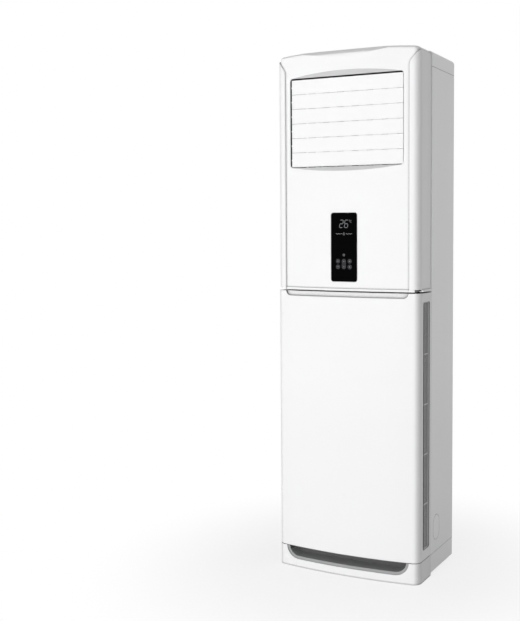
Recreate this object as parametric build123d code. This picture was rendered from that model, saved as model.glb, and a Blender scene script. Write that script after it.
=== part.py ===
from build123d import *
import math
import os

# A floor standing air conditioner: a tall cabinet with a bulged plastic front, an outlet with six
# louvre blades above a control window, and a lower front panel with an air intake in each side.
# Millimetres. X runs across the front, Y from the front to the back, Z up from the floor.
# The origin is at the middle of the footprint, on the floor.
# What cuts a hole runs a few millimetres past the faces that it opens.

# ------------------------------------------------------------------ cabinet
WIDTH = 500.0               # across the side panels
DEPTH = 316.0               # crown of the front to the screw heads at the back
HEIGHT = 1664.0             # floor to the crown of the top
HALF = WIDTH / 2
BULGE_DROP = 19.37006       # how far the bulged front falls back to the sides
BULGE_R = (HALF ** 2 + BULGE_DROP ** 2) / (2 * BULGE_DROP)
ARCH_DROP = 9.0             # how far the arched top falls to the sides
ARCH_R = (HALF ** 2 + ARCH_DROP ** 2) / (2 * ARCH_DROP)
CORNER_R = 26.0             # front corners in plan
TOP_EDGE_R = 12.0           # rounding round the top's edge
BROW_REACH = 36.0           # the bulge's brow: how far it sweeps back into the top
BROW_FALL = 28.0            # and how far down the front
JOIN_DEPTH = 118.0          # where the plastic front ends and the sheet metal starts
PANEL_T = 3.0               # moulded panels
SHEET_T = 1.2               # sheet metal
SEAM = 0.6                  # visible seam between fixed panels
SLIP = 0.3                  # clearance of what is pushed into place
SCREW_HEAD_H = 2.2
SCREW_HEAD_R = 4.0
SCREW_R = 1.9

# ------------------------------------------------------------------ levels
FOOT_H = 9.0
FOOT_R = 18.0
PLINTH_H = 67.0
UPPER_H = 753.0             # upper panel's lower edge to the crown of the top
DOOR_GAP = 2.0              # plinth to the lower panel
UPPER_GAP = 4.0             # lower panel to the upper panel
COVER_H = 56.0              # lower edge of the top cover's side flange to the crown
UPPER_Z0 = HEIGHT - UPPER_H
DOOR_Z0 = PLINTH_H + DOOR_GAP
DOOR_Z1 = UPPER_Z0 - UPPER_GAP
COVER_Z0 = HEIGHT - COVER_H
COVER_DROP = 0.3            # the top cover lies this much under the front panel's arch
COVER_EDGE_R = 12.0
COVER_RIM = 8.0             # rim turned in at the cover's front

# ------------------------------------------------------------------ front panel forms
UPPER_INSET = 2.5           # the upper panel is narrower than the door, per side
FIELD_DEPTH = 4.0           # the field lies this much behind the pillars
PILLAR_W = 35.0             # width of the pillars, to the cabinet's side
FIELD_HALF = HALF - PILLAR_W
FIELD_FOOT = 16.0           # the field ends this much under the lower panel's top
FIELD_Z0 = DOOR_Z1 - FIELD_FOOT
FIELD_CORNER_R = 17.0
FIELD_BEND_DROP = 56.0      # crown of the top to where the pillar's edge turns out to the corner
FIELD_BEND_Z = HEIGHT - FIELD_BEND_DROP
FIELD_BEND_R = 30.0
FIELD_BEND_ANGLE = 39.5     # the pillar's edge over its bend, off the upright
PILLAR_BEVEL = 2.6
BEAD_H = 7.0                # bead along the upper panel's bottom edge
NOTCH_W = 16.0              # finger notches at the two front corners
NOTCH_DEPTH = 46.0
NOTCH_H = 9.0

# ------------------------------------------------------------------ air outlet
OUTLET_SIDE = 52.5          # outlet to the cabinet's side
OUTLET_DROP = 81.3          # crown of the top to the outlet
OUTLET_H = 282.2
OUTLET_HALF = HALF - OUTLET_SIDE
OUTLET_Z1 = HEIGHT - OUTLET_DROP
OUTLET_Z0 = OUTLET_Z1 - OUTLET_H
OUTLET_R = 10.0
SCOOP_H = 14.5              # height of the crescents above and below the outlet
COLLAR = 4.0                # wall round the outlet
OUTLET_PLANE = 19.5         # depth of the collar's flat rear face
FRAME_END = JOIN_DEPTH + SEAM + 2 * SHEET_T     # depth of the outlet frame's rear edge
FRAME_T = 3.0
FRAME_R = 6.0               # inner corners of the outlet frame

# ------------------------------------------------------------------ louvre blades
BLADES = 6
BLADE_SILL = 2.1            # open below the lowest blade
BLADE_HEAD = 4.1            # open above the highest blade
BLADE_END_GAP = 3.5
BLADE_GAP = 0.8
BLADE_PITCH = (OUTLET_H - BLADE_SILL - BLADE_HEAD) / BLADES
BLADE_HALF = OUTLET_HALF - BLADE_END_GAP
BLADE_BOTTOM = OUTLET_Z0 + BLADE_SILL
BLADE_T = 2.5
BLADE_EDGE_T = 1.2
BLADE_FRONT = 21.0          # depth of the blades' front faces
BLADE_PIVOT = 5.0           # pivot line behind the blade's front face
BOSS_L = 6.0
BOSS_WALL = 1.2
LOUVRE_PIN_R = 2.5
LOUVRE_PIN_SLACK = 0.2
CRANK_R = 14.0
CRANK_T = 4.0
CRANK_W = 7.0
CRANK_GAP = 1.0             # outlet frame to the cranks
CRANK_PIN_R = 2.0
LINK_T = 3.0
LINK_W = 9.0

# ------------------------------------------------------------------ guide vanes
VANES = 7
VANE_MARGIN = 41.5          # outlet's side to the first vane
VANE_PITCH = 2 * (OUTLET_HALF - VANE_MARGIN) / (VANES - 1)
VANE_PIVOT = 84.0           # depth of the vanes' pivots
VANE_FRONT = 22.0           # reach in front of the pivot
VANE_BACK = 24.0
VANE_T = 2.0
VANE_PIN_R = 2.5
VANE_END_GAP = 1.5
VANE_CLIP_R = 18.0          # clip pin behind the pivot
VANE_CLIP_PIN_R = 1.4
VANE_NOTCH_H = 10.0
VANE_LINK_RISE = 139.5      # outlet's lower edge to the link bar
VANE_LINK_Z = OUTLET_Z0 + VANE_LINK_RISE
VANE_LINK_W = 7.0

# ------------------------------------------------------------------ stepping motors
STEPPER_R = 12.0
STEPPER_L = 16.0
STEPPER_OFFSET = 8.0        # the can sits this much off its shaft
STEPPER_EAR = 7.0           # fixing ears: how far they stand out, and their width

# ------------------------------------------------------------------ control window
WINDOW_HALF = 45.3
WINDOW_DROP = 145.0         # outlet's lower edge to the window's top
WINDOW_H = 215.6
WINDOW_Z1 = OUTLET_Z0 - WINDOW_DROP
WINDOW_Z0 = WINDOW_Z1 - WINDOW_H
WINDOW_R = 8.0
WINDOW_FRONT = 3.6          # depth of the window's face
WINDOW_BACK = 9.4
WINDOW_FLANGE_T = 1.5
WINDOW_FLANGE_W = 4.0
KEY_R = 7.2
KEY_COLUMN = 20.6
KEY_RISE = 46.3             # window's lower edge to the lower row
KEY_ROW = 18.0
KEY_LOW_Z = WINDOW_Z0 + KEY_RISE
KEY_TOP_Z = KEY_LOW_Z + KEY_ROW
KEY_SPLIT = 1.6             # gap between the two middle keys
KEY_PROUD = 0.6
KEY_TRAVEL = 1.0
KEY_FLANGE_W = 1.6
KEY_FLANGE_T = 1.2
KEY_STEM_R = 2.0
BOARD_DEPTH = 13.6          # depth of the display board's face
BOARD_T = 1.6
READ_OUT_HALF = 30.0
READ_OUT_DROP = 18.0        # window's top to the read-out's housing
READ_OUT_H = 57.0
CONNECTOR_HALF = 24.0
CONNECTOR_RISE = 30.0       # window's lower edge to the board's connector
CONNECTOR_H = 12.0
CONNECTOR_D = 7.0

# ------------------------------------------------------------------ side intakes
SLOT_Y0 = 50.0
SLOT_Y1 = 104.0
SLOT_SILL = 31.0            # lower panel's lower edge to the slot
SLOT_HEAD = 27.0            # slot to the lower panel's top
SLOT_Z0 = DOOR_Z0 + SLOT_SILL
SLOT_Z1 = DOOR_Z1 - SLOT_HEAD
SLOT_R = 9.0
GRILLE_T = 2.5
GRILLE_RIM = 4.0
GRILLE_BAR_Y = 64.0         # depth of the bar between the open gap and the filter strip
GRILLE_BAR = 2.2
GRILLE_RIBS = 4
GRILLE_LOW_SPAN = 142.0     # slot's lower end to the first rib
GRILLE_HIGH_SPAN = 164.0    # last rib to the slot's upper end
GRILLE_RIB_Z = SLOT_Z0 + GRILLE_LOW_SPAN
GRILLE_RIB_PITCH = (SLOT_Z1 - GRILLE_HIGH_SPAN - GRILLE_RIB_Z) / (GRILLE_RIBS - 1)
GRILLE_RIB_T = 3.0
FILTER_T = 3.0

# ------------------------------------------------------------------ toe recess
TOE_CORNER_W = 46.0
TOE_SIDE = 79.0             # recess's flat floor to the cabinet's side
TOE_FLAT_HALF = HALF - TOE_SIDE
TOE_FLOOR = 26.0
LIP_W = 9.0
LIP_LAP = 4.0
LINER_DEPTH = 60.0
LINER_T = 2.0

# ------------------------------------------------------------------ base
PAN_FRONT = 42.0
PAN_T = 1.5
PAN_LIP = 22.0
ANCHOR_SIDE = 100.0         # anchor holes to the cabinet's side
ANCHOR_X = HALF - ANCHOR_SIDE
ANCHOR_R = 5.0
FOOT_SIDE = 45.0            # middle of the feet to the cabinet's side
FOOT_X = HALF - FOOT_SIDE
FOOT_END = 68.0             # middle of the feet and anchor holes to the front and back
FOOT_Y = DEPTH / 2 - FOOT_END

# ------------------------------------------------------------------ side panels
FLANGE = 14.0
PIPE_HOLE_BACK = 47.0       # join of the front and the sheets to the middle of the pipe hole
PIPE_HOLE_DEPTH = JOIN_DEPTH + PIPE_HOLE_BACK
PIPE_HOLE_Z = 145.0
PIPE_HOLE_W = 54.0
PIPE_HOLE_H = 82.0
PIPE_CAP_GAP = 1.2
PIPE_CAP_T = 2.0
PIPE_CAP_RIM = 4.0          # depth of the cap's rim behind the sheet
PIPE_CAP_BARB = 1.5
WALL_HOLE_SIDE = 100.0      # wall-fixing holes to the cabinet's side
WALL_HOLE_DROP = 104.0      # crown of the top to the wall-fixing holes
WALL_HOLE_X = HALF - WALL_HOLE_SIDE
WALL_HOLE_Z = HEIGHT - WALL_HOLE_DROP
WALL_HOLE_R = 3.5
BACK_BEADS = 3
BACK_BEAD_OUT = 1.0         # height of the pressed beads in the back panel
BACK_BEAD_W = 24.0
BACK_BEAD_SIDE = 45.0       # bead's end to the cabinet's side
BACK_BEAD_Z = 300.0
BACK_BEAD_TOP = 500.0       # highest bead to the top cover
BACK_BEAD_PITCH = (COVER_Z0 - BACK_BEAD_TOP - BACK_BEAD_Z) / (BACK_BEADS - 1)
SCREWS = 5                  # screws down each side of the back panel
SCREW_Z = 110.0
SCREW_DROP = 84.0           # crown of the top to the highest screws

# ------------------------------------------------------------------ blower
MOTOR_R = 58.0
MOTOR_TAIL = 16.0           # motor's rear end to the cabinet's rear
MOTOR_L = 54.0              # motor's rear end to the scroll's back wall
MOTOR_BACK = DEPTH - MOTOR_TAIL
SCROLL_BACK = MOTOR_BACK - MOTOR_L
SCROLL_T = 1.5
FAN_X = -12.0
FAN_SHARE = 0.3             # wheel's radius as a share of the cabinet's width
FAN_R = WIDTH * FAN_SHARE
FAN_BLADES = 28
FAN_BLADE_W = 26.0          # radial width of the blades' ring
FAN_BLADE_IN_R = FAN_R - FAN_BLADE_W
FAN_BLADE_T = 2.0
FAN_BLADE_SWEEP = 12.0      # how far a blade's tip leans forward
FAN_HUB_R = 24.0
FAN_HUB_L = 45.0
FAN_PLATE_T = 2.5
FAN_RING_L = 5.0
FAN_FRONT = 140.0           # depth of the wheel's front ring
FAN_BACK = SCROLL_BACK - 14.0
SHAFT_R = 6.0
SHAFT_SLACK = 0.05
SHAFT_NOSE = 14.0           # shaft in front of the hub
SHAFT_TAIL = 40.0           # shaft behind the wheel
SHAFT_NUT_R = 10.0
SHAFT_NUT_T = 8.0
SCROLL_START_R = FAN_R + 13.0
SCROLL_END_R = FAN_R + 72.0
SCROLL_START = 62.0         # angle of the scroll's tongue
SCROLL_STEPS = 10
BELL_R = FAN_R
BELL_FLARE = 28.0
THROAT_R = BELL_R - BELL_FLARE
BOSS_STEP = 14.0            # motor's front boss inside its rim
BOSS_H = 8.0
BRACKET_R = 96.0
BRACKET_T = 2.0
BRACKET_ARM_L = 34.0
BRACKET_ARM_W = 22.0

# ------------------------------------------------------------------ evaporator
COIL_SIDE = 45.0            # coil to the cabinet's side
COIL_HALF = HALF - COIL_SIDE
COIL_T = 40.0
COIL_L = 450.0
COIL_DEPTH = (JOIN_DEPTH + DEPTH) / 2 + 1.0     # depth of the coil's middle
COIL_DROP = 280.5           # outlet's lower edge to the coil's middle
COIL_Z = OUTLET_Z0 - COIL_DROP
COIL_ROOM = 66.4            # depth inside the sheets that the leaning coil leaves over
COIL_TILT = math.degrees(math.asin((DEPTH - JOIN_DEPTH - COIL_ROOM) / COIL_L))
TUBE_R = 5.0
TUBE_ROWS = 2
TUBES = 8
TUBE_PITCH = 52.0
TUBE_BEND = 12.0            # reach of the return bends
ROW_PITCH = 20.0
PAN_DROP = 275.0            # coil's middle to the drain pan
PAN_Z = COIL_Z - PAN_DROP
PAN_H = 34.0
PAN_WALL = 3.0
TROUGH_DEPTH = 72.0
SHELF_DROP = 105.0          # drain pan to the partition plate
SHELF_Z = PAN_Z - SHELF_DROP
FAN_RISE = 11.5             # fan over the middle between the plinth and the partition plate
FAN_Z = (PLINTH_H + SHELF_Z) / 2 + FAN_RISE
GAS_PIPE_R = 8.0
LIQUID_PIPE_R = 5.0
HOSE_R = 8.0
SPOUT_L = 18.0
HOSE_SET_OUT = 4.0          # the hose's lower run against its upper one
HOSE_SET_BACK = 20.0
HOSE_TOP_L = 30.0           # straight hose under the partition plate
HOSE_SHIFT_L = 100.0
HOSE_SIDE = 20.0            # hose inside the left side sheet
HOSE_BEND_R = 40.0
PIPE_BEND_R = 11.0
PIPE_INSET = 20.0           # refrigerant pipes inside the right side sheet
PIPE_ROOM = 14.0            # notch in the partition plate round the pipes
PIPE_DROP = 20.0
PIPE_SHIFT_DROP = 52.0
PIPE_DEPTH_STEP = 20.0
GAS_PIPE_DEPTH = COIL_DEPTH + 14.0
LIQUID_PIPE_DEPTH = GAS_PIPE_DEPTH - PIPE_DEPTH_STEP
NUT_DEPTH = PIPE_HOLE_DEPTH + 3.0
NUT_L = 24.0
NUT_WALL = 3.5
GAS_NUT_RISE = 30.0         # flare nuts over and under the middle of the pipe hole
LIQUID_NUT_DROP = 20.0
TUBE_STUB = 8.0

# ------------------------------------------------------------------ duct elbow
ELBOW_TOP = 24.0            # foam over the outlet
ELBOW_BACK = 12.0           # foam at the back
ELBOW_FOOT = 20.0           # elbow's lower edge over the outlet's
ELBOW_LIP = 30.0
ELBOW_SWEEP_Y = 42.0        # a point on the inner curve, from its lower end and from its top
ELBOW_SWEEP_Z = 62.0

# ------------------------------------------------------------------ electrics
BOX_SIDE = 100.0            # box to the cabinet's side
BOX_HALF = HALF - BOX_SIDE
BOX_FRONT = 62.0
BOX_SILL = 19.0             # upper panel's lower edge to the box
BOX_HEAD = 60.5             # box to the outlet's lower edge
BOX_Z0 = UPPER_Z0 + BOX_SILL
BOX_Z1 = OUTLET_Z0 - BOX_HEAD
VENTS = 6
VENT_W = 20.0
VENT_H = 5.0
VENT_PITCH = 36.0
VENT_DROP = 34.0
MAIN_BOARD_SIDE = 25.0      # main board inside the box's walls
MAIN_BOARD_SILL = 90.0
MAIN_BOARD_HEAD = 20.0
POST_H = 8.0
POST_R = 3.0
POST_INSET = 8.0
TRANSFORMER_D = 28.0
CAPACITOR_L = 30.0
CAPACITOR_R = 12.0
RELAYS = 4
RELAY_D = 14.0
HEAT_SINK_D = 20.0
TERMINALS = 5
TERMINAL_PITCH = 24.0
TERMINAL_D = 14.0
TERMINAL_H = 27.0
TERMINAL_Z = 25.0           # terminals over the box's floor
BARRIER_T = 3.0
BARRIER_D = 22.0

# ------------------------------------------------------------------ worked out
FRONT = -DEPTH / 2
BACK = DEPTH / 2 - SCREW_HEAD_H
BLADE_TOP = BLADE_BOTTOM + BLADES * BLADE_PITCH
TURN = {"X": Rot(0, 90, 0), "Y": Rot(-90, 0, 0), "Z": Rot(0, 0, 0)}


def at(depth):
    """The Y of a point this far behind the crown of the front."""
    return FRONT + depth


JOIN = at(JOIN_DEPTH)
SHEET_Y0 = JOIN + SEAM
WALL_Y = SHEET_Y0 + SHEET_T             # rear face of the side panels' front flanges
PIVOT_Y = at(BLADE_FRONT + BLADE_PIVOT)
CRANK_X = OUTLET_HALF + FRAME_T + CRANK_GAP


# ------------------------------------------------------------------ shared forms
def block(x0, x1, y0, y1, z0, z1):
    """A box between two corners."""
    size = Box(x1 - x0, y1 - y0, z1 - z0)
    return Pos((x0 + x1) / 2, (y0 + y1) / 2, (z0 + z1) / 2) * size


def rod(axis, start, length, radius):
    """A round bar that runs from its start along an axis."""
    bar = Cylinder(radius, length, align=(Align.CENTER, Align.CENTER, Align.MIN))
    return Pos(*start) * TURN[axis] * bar


def prism_y(outline, y0, y1):
    """A front-view outline, X and Z, as a solid from y0 back to y1."""
    return extrude(Plane.XZ.offset(-y1) * outline, y1 - y0)


def prism_x(outline, x0, x1):
    """A side-view outline, Y and Z, as a solid from x0 to x1."""
    return extrude(Plane.YZ.offset(x0) * outline, x1 - x0)


def rounded(half_w, z0, z1, radius, grow=0.0):
    """A rounded rectangle in the front view, as wide on both sides of the middle."""
    shape = RectangleRounded(2 * (half_w + grow), z1 - z0 + 2 * grow, radius + grow)
    return Pos(0, (z0 + z1) / 2) * shape


def plan_outline(inset, half, y_rear):
    """The cabinet in plan: bulged front, rounded front corners, straight sides."""
    y_start = FRONT - 1
    sheet = Pos(0, (y_start + y_rear) / 2) * Rectangle(2 * half, y_rear - y_start)
    sheet &= Pos(0, FRONT + BULGE_R) * Circle(BULGE_R - inset)
    front_corners = sheet.vertices().sort_by(Axis.Y)[:2]
    return fillet(front_corners, CORNER_R - inset)


def column(inset, half, z0, z1, y_rear=JOIN):
    """The plan outline as a solid between two levels."""
    return extrude(Pos(0, 0, z0) * plan_outline(inset, half, y_rear), z1 - z0)


def arch(drop):
    """The space under the arched top."""
    return rod("Y", (0, FRONT - 5, HEIGHT - ARCH_R), DEPTH + 10, ARCH_R - drop)


def brow(inset, drop, z0):
    """The space behind the brow, where the bulged front sweeps back into the top."""
    y, z = at(BROW_REACH), HEIGHT - BROW_FALL
    shape = Pos(y, z) * Ellipse(BROW_REACH - inset, BROW_FALL - drop)
    shape += Pos((y + JOIN + 5) / 2, (z0 + HEIGHT) / 2) * Rectangle(JOIN + 5 - y, HEIGHT + 10 - z0)
    shape += Pos(FRONT, (z0 - 5 + z) / 2) * Rectangle(2 * (y - FRONT), z + 5 - z0)
    return prism_x(shape, -HALF - 5, HALF + 5)


def capped_column(inset, half, z0, drop, edge_r):
    """The plan outline under the arched top and the brow, with its top edge rounded."""
    body = column(inset, half, z0, HEIGHT + 5) & arch(drop)
    top = [e for e in body.edges() if e.bounding_box().min.Z > z0 + 5 and e.center().Y < JOIN - 1]
    return fillet(top, edge_r) & brow(inset, drop, z0)


def field_outline(grow=0.0):
    """The field between the pillars, in the front view, open to the whole width at the top."""
    half = FIELD_HALF + grow
    low = FIELD_Z0 - grow
    bend = FIELD_BEND_Z - grow * math.tan(math.radians(FIELD_BEND_ANGLE / 2))
    reach = HALF + 30
    rise = (reach - half) / math.tan(math.radians(FIELD_BEND_ANGLE))
    top = HEIGHT + 60
    right = [(half, low), (half, bend), (reach, bend + rise), (reach, top)]
    left = [(-x, z) for x, z in reversed(right)]
    shape = make_face(Polyline(*right, *left, close=True))
    feet = shape.vertices().filter_by(lambda v: abs(v.Y - low) < 0.1)
    shape = fillet(feet, FIELD_CORNER_R + grow)
    bends = shape.vertices().filter_by(lambda v: abs(v.Y - bend) < 0.1)
    return fillet(bends, FIELD_BEND_R - grow)


def field_prism(grow=0.0):
    """The field's outline pushed through the front of the cabinet."""
    return prism_y(field_outline(grow), FRONT - 5, JOIN + 5)


# ------------------------------------------------------------------ front panels
def bevelled(pillars):
    """The pillars with a bevel down the inner edge of their face and round its bend."""
    def on_rim(edge):
        middle = edge.center()
        low = abs(middle.X) < FIELD_HALF + 1 and middle.Z > UPPER_Z0 + 1
        bent = middle.Z > FIELD_BEND_Z - FIELD_BEND_R / 2
        return (low or bent) and middle.Y < JOIN - 20 and abs((edge % 0.5).Y) < 0.9
    return chamfer(pillars.edges().filter_by(on_rim), PILLAR_BEVEL)


def upper_front_panel():
    """Moulded upper panel: pillars, recessed field, arched top, bead, outlet and window openings."""
    half = HALF - UPPER_INSET
    skin = capped_column(FIELD_DEPTH, half - FIELD_DEPTH, UPPER_Z0, 0, TOP_EDGE_R)
    field = field_prism()
    pillars = bevelled(capped_column(0, half, UPPER_Z0, 0, TOP_EDGE_R) - field)
    bead_top = UPPER_Z0 + BEAD_H
    bead = (column(0, HALF, UPPER_Z0, bead_top) - field) + (
        column(FIELD_DEPTH - UPPER_INSET, half, UPPER_Z0, bead_top) & field)
    collar_outline = rounded(OUTLET_HALF, OUTLET_Z0 - SCOOP_H, OUTLET_Z1 + SCOOP_H, OUTLET_R, COLLAR)
    collar = prism_y(collar_outline, FRONT, at(OUTLET_PLANE)) & column(
        FIELD_DEPTH, half, UPPER_Z0, HEIGHT)
    inner = FIELD_DEPTH + PANEL_T
    floor_z = UPPER_Z0 + PANEL_T
    hollow = capped_column(inner, half - inner, floor_z, PANEL_T, TOP_EDGE_R - PANEL_T)
    pillar_hollow = capped_column(PANEL_T, half - PANEL_T, floor_z, PANEL_T,
                                  TOP_EDGE_R - PANEL_T) - field_prism(PANEL_T)
    panel = skin + pillars + bead - hollow - pillar_hollow + collar
    panel -= prism_y(rounded(OUTLET_HALF, OUTLET_Z0, OUTLET_Z1, OUTLET_R), FRONT - 5, JOIN)
    for top in (True, False):
        panel -= scoop(top)
    panel -= prism_y(rounded(WINDOW_HALF, WINDOW_Z0, WINDOW_Z1, WINDOW_R, SLIP), FRONT - 5, JOIN - 60)
    for side in (-1, 1):
        x0, x1 = sorted((side * (HALF - NOTCH_W), side * (HALF + 5)))
        panel -= block(x0, x1, FRONT - 5, at(NOTCH_DEPTH), UPPER_Z0 - 5, UPPER_Z0 + NOTCH_H - 2)
    return panel


def scoop(top):
    """A slanted cut from the outlet's flat edge out through the bulged field."""
    edge = OUTLET_Z1 if top else OUTLET_Z0
    up = 1 if top else -1
    bulge = BULGE_R - math.sqrt(BULGE_R ** 2 - (OUTLET_HALF - 3) ** 2)
    deep = FIELD_DEPTH + bulge
    slope = SCOOP_H / bulge
    rise = slope * (deep + 5)
    profile = make_face(Polyline((at(deep), edge), (at(-5), edge + up * rise), (at(-5), edge - up * 5),
                                 (at(deep), edge - up * 5), close=True))
    return prism_x(profile, -OUTLET_HALF, OUTLET_HALF)


def slot_outline(grow=0.0):
    """The side intake slot, in the side view."""
    shape = RectangleRounded(SLOT_Y1 - SLOT_Y0 + 2 * grow, SLOT_Z1 - SLOT_Z0 + 2 * grow, SLOT_R + grow)
    return Pos(at((SLOT_Y0 + SLOT_Y1) / 2), (SLOT_Z0 + SLOT_Z1) / 2) * shape


def lower_front_panel():
    """Moulded lower panel: a shallow tray open to the back, with a slot in each side."""
    field = field_prism()
    step = DOOR_Z1 - FIELD_Z0 + 10
    outer = column(0, HALF, DOOR_Z0, DOOR_Z1)
    hollow = column(PANEL_T, HALF - PANEL_T, DOOR_Z0 + PANEL_T, DOOR_Z1 - PANEL_T, JOIN + 5)
    backing = column(0, HALF, DOOR_Z1 - step, DOOR_Z1) - column(
        FIELD_DEPTH + PANEL_T, HALF - PANEL_T, DOOR_Z1 - step - 1, DOOR_Z1 + 1)
    backing &= field_prism(PANEL_T)
    recess = (column(-2, HALF + 2, DOOR_Z1 - step, DOOR_Z1 + 1) - column(
        FIELD_DEPTH, HALF, DOOR_Z1 - step - 1, DOOR_Z1 + 2)) & field
    door = outer - hollow + backing - recess
    door -= prism_x(slot_outline(), -HALF - 5, HALF + 5)
    return door


def intake_grille(side):
    """Frame behind a side slot: open gap at the front, window for the filter, four cross ribs."""
    x1 = HALF - PANEL_T
    x0 = x1 - GRILLE_T
    frame = prism_x(slot_outline(GRILLE_RIM), x0, x1)
    gap = block(x0 - 1, x1 + 1, at(SLOT_Y0 + 2), at(GRILLE_BAR_Y), SLOT_Z0 + 3, SLOT_Z1 - 3)
    window = block(x0 - 1, x1 + 1, at(GRILLE_BAR_Y + GRILLE_BAR), at(SLOT_Y1 - 5), SLOT_Z0 + 3, SLOT_Z1 - 3)
    frame -= gap + window
    for i in range(GRILLE_RIBS):
        z = GRILLE_RIB_Z + i * GRILLE_RIB_PITCH
        frame += block(x0, x1, at(SLOT_Y0), at(SLOT_Y1), z - GRILLE_RIB_T / 2, z + GRILLE_RIB_T / 2)
    return frame if side > 0 else mirror(frame, Plane.YZ)


def intake_filter(side):
    """Filter pad held against the back of the grille."""
    x1 = HALF - PANEL_T - GRILLE_T
    y0, y1 = at(GRILLE_BAR_Y), at(SLOT_Y1)
    pad = block(x1 - FILTER_T, x1, y0, y1, SLOT_Z0, SLOT_Z1)
    pad = fillet(pad.edges().filter_by(Axis.X), 4)
    return pad if side > 0 else mirror(pad, Plane.YZ)


# ------------------------------------------------------------------ plinth and base
def toe_outline(shrink, top):
    """The toe recess in the front view: flat floor and wide swept-up corners."""
    rx = TOE_CORNER_W - shrink
    rz = PLINTH_H - TOE_FLOOR - shrink
    shape = Pos(0, PLINTH_H - rz / 2) * Rectangle(2 * TOE_FLAT_HALF, rz)
    for side in (-1, 1):
        shape += Pos(side * TOE_FLAT_HALF, PLINTH_H) * Ellipse(rx, rz)
    return shape & (Pos(0, top / 2) * Rectangle(WIDTH, top))


def plinth_cover():
    """Foot cover that wraps the front and both sides, with the toe recess cut in its top edge."""
    cover = column(0, HALF, 0, PLINTH_H) - column(PANEL_T, HALF - PANEL_T, -1, PLINTH_H + 1, JOIN + 5)
    return cover - prism_y(toe_outline(0, PLINTH_H + 2), FRONT - 5, at(LINER_DEPTH))


def plinth_recess_lip():
    """Grey lip that runs round the lower edge of the toe recess, behind the cover."""
    front = PANEL_T + SLIP
    band = column(front, HALF - front, 0, PLINTH_H - 1) - column(front + PANEL_T, HALF - front - PANEL_T,
                                                              -1, PLINTH_H, JOIN + 5)
    ring = toe_outline(-LIP_LAP, PLINTH_H - 1) - toe_outline(LIP_W, PLINTH_H + 2)
    return band & prism_y(ring, FRONT, at(LINER_DEPTH))


def plinth_recess_liner():
    """Dark tray behind the lip."""
    front = 2 * PANEL_T + SLIP
    top = PLINTH_H - 1
    outer = prism_y(toe_outline(LIP_W - LINER_T, top), FRONT, at(LINER_DEPTH))
    inner = prism_y(toe_outline(LIP_W, top - LINER_T), FRONT - 1, at(LINER_DEPTH - LINER_T))
    return (outer - inner) & column(front, HALF - front, 0, PLINTH_H)


def base_pan():
    """Pressed steel tray that the cabinet stands on."""
    narrow = HALF - PANEL_T - SLIP
    z0, z1 = FOOT_H, PLINTH_H
    y_lip = at(LINER_DEPTH + 2)
    pan = block(-narrow, narrow, at(PAN_FRONT), SHEET_Y0, z0, z0 + PAN_T)
    pan += block(-HALF, HALF, SHEET_Y0, BACK - SHEET_T, z0, z0 + PAN_T)
    pan += block(-narrow, narrow, y_lip, y_lip + PAN_T, z0, z0 + PAN_LIP)
    pan += block(-HALF, HALF, BACK - SHEET_T - PAN_T, BACK - SHEET_T, z0, z1)
    for side in (-1, 1):
        x0, x1 = sorted((side * HALF, side * (HALF - PAN_T)))
        pan += block(x0, x1, SHEET_Y0, BACK - SHEET_T, z0, z1)
    for x in (-ANCHOR_X, ANCHOR_X):
        for y in (-FOOT_Y, FOOT_Y):
            pan -= rod("Z", (x, y, 0), 20, ANCHOR_R)
    x, y = hose_place()
    return pan - rod("Z", (x - HOSE_SET_OUT, y + HOSE_SET_BACK, 0), 20, HOSE_R + SLIP)


def rubber_feet():
    """Four round feet with a domed edge."""
    foot = Cylinder(FOOT_R, FOOT_H, align=(Align.CENTER, Align.CENTER, Align.MIN))
    foot = chamfer(foot.edges().group_by(Axis.Z)[0], 1.5)
    return [Pos(x, y, 0) * foot for x in (-FOOT_X, FOOT_X) for y in (-FOOT_Y, FOOT_Y)]


# ------------------------------------------------------------------ sheet metal
def side_panel(side):
    """Side sheet with a flange turned in at the front and at the back."""
    z0, z1 = PLINTH_H + SLIP, COVER_Z0 - SEAM
    y1 = BACK - SHEET_T
    skin = block(HALF - SHEET_T, HALF, SHEET_Y0, y1, z0, z1)
    skin += block(HALF - FLANGE, HALF, SHEET_Y0, SHEET_Y0 + SHEET_T, z0, z1)
    skin += block(HALF - FLANGE, HALF, y1 - SHEET_T, y1, z0, z1)
    if side > 0:
        return skin - prism_x(pipe_hole_outline(), HALF - 5, HALF + 5)
    return mirror(skin, Plane.YZ)


def pipe_hole_outline(grow=0.0):
    """The upright obround pipe hole, in the side view."""
    shape = Rot(0, 0, 90) * SlotOverall(PIPE_HOLE_H + 2 * grow, PIPE_HOLE_W + 2 * grow)
    return Pos(at(PIPE_HOLE_DEPTH), PIPE_HOLE_Z) * shape


def pipe_hole_cap():
    """Flush cover in the pipe hole, with a rim inside and a barb that snaps in behind the sheet."""
    x = HALF - SHEET_T
    inner = -PIPE_CAP_GAP - PIPE_CAP_T
    face = prism_x(pipe_hole_outline(-PIPE_CAP_GAP), x, HALF)
    rim = prism_x(pipe_hole_outline(-PIPE_CAP_GAP), x - PIPE_CAP_RIM, x)
    barb = prism_x(pipe_hole_outline(PIPE_CAP_BARB), x - PIPE_CAP_BARB, x)
    return face + (rim + barb - prism_x(pipe_hole_outline(inner), x - PIPE_CAP_RIM - 1, x))


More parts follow.
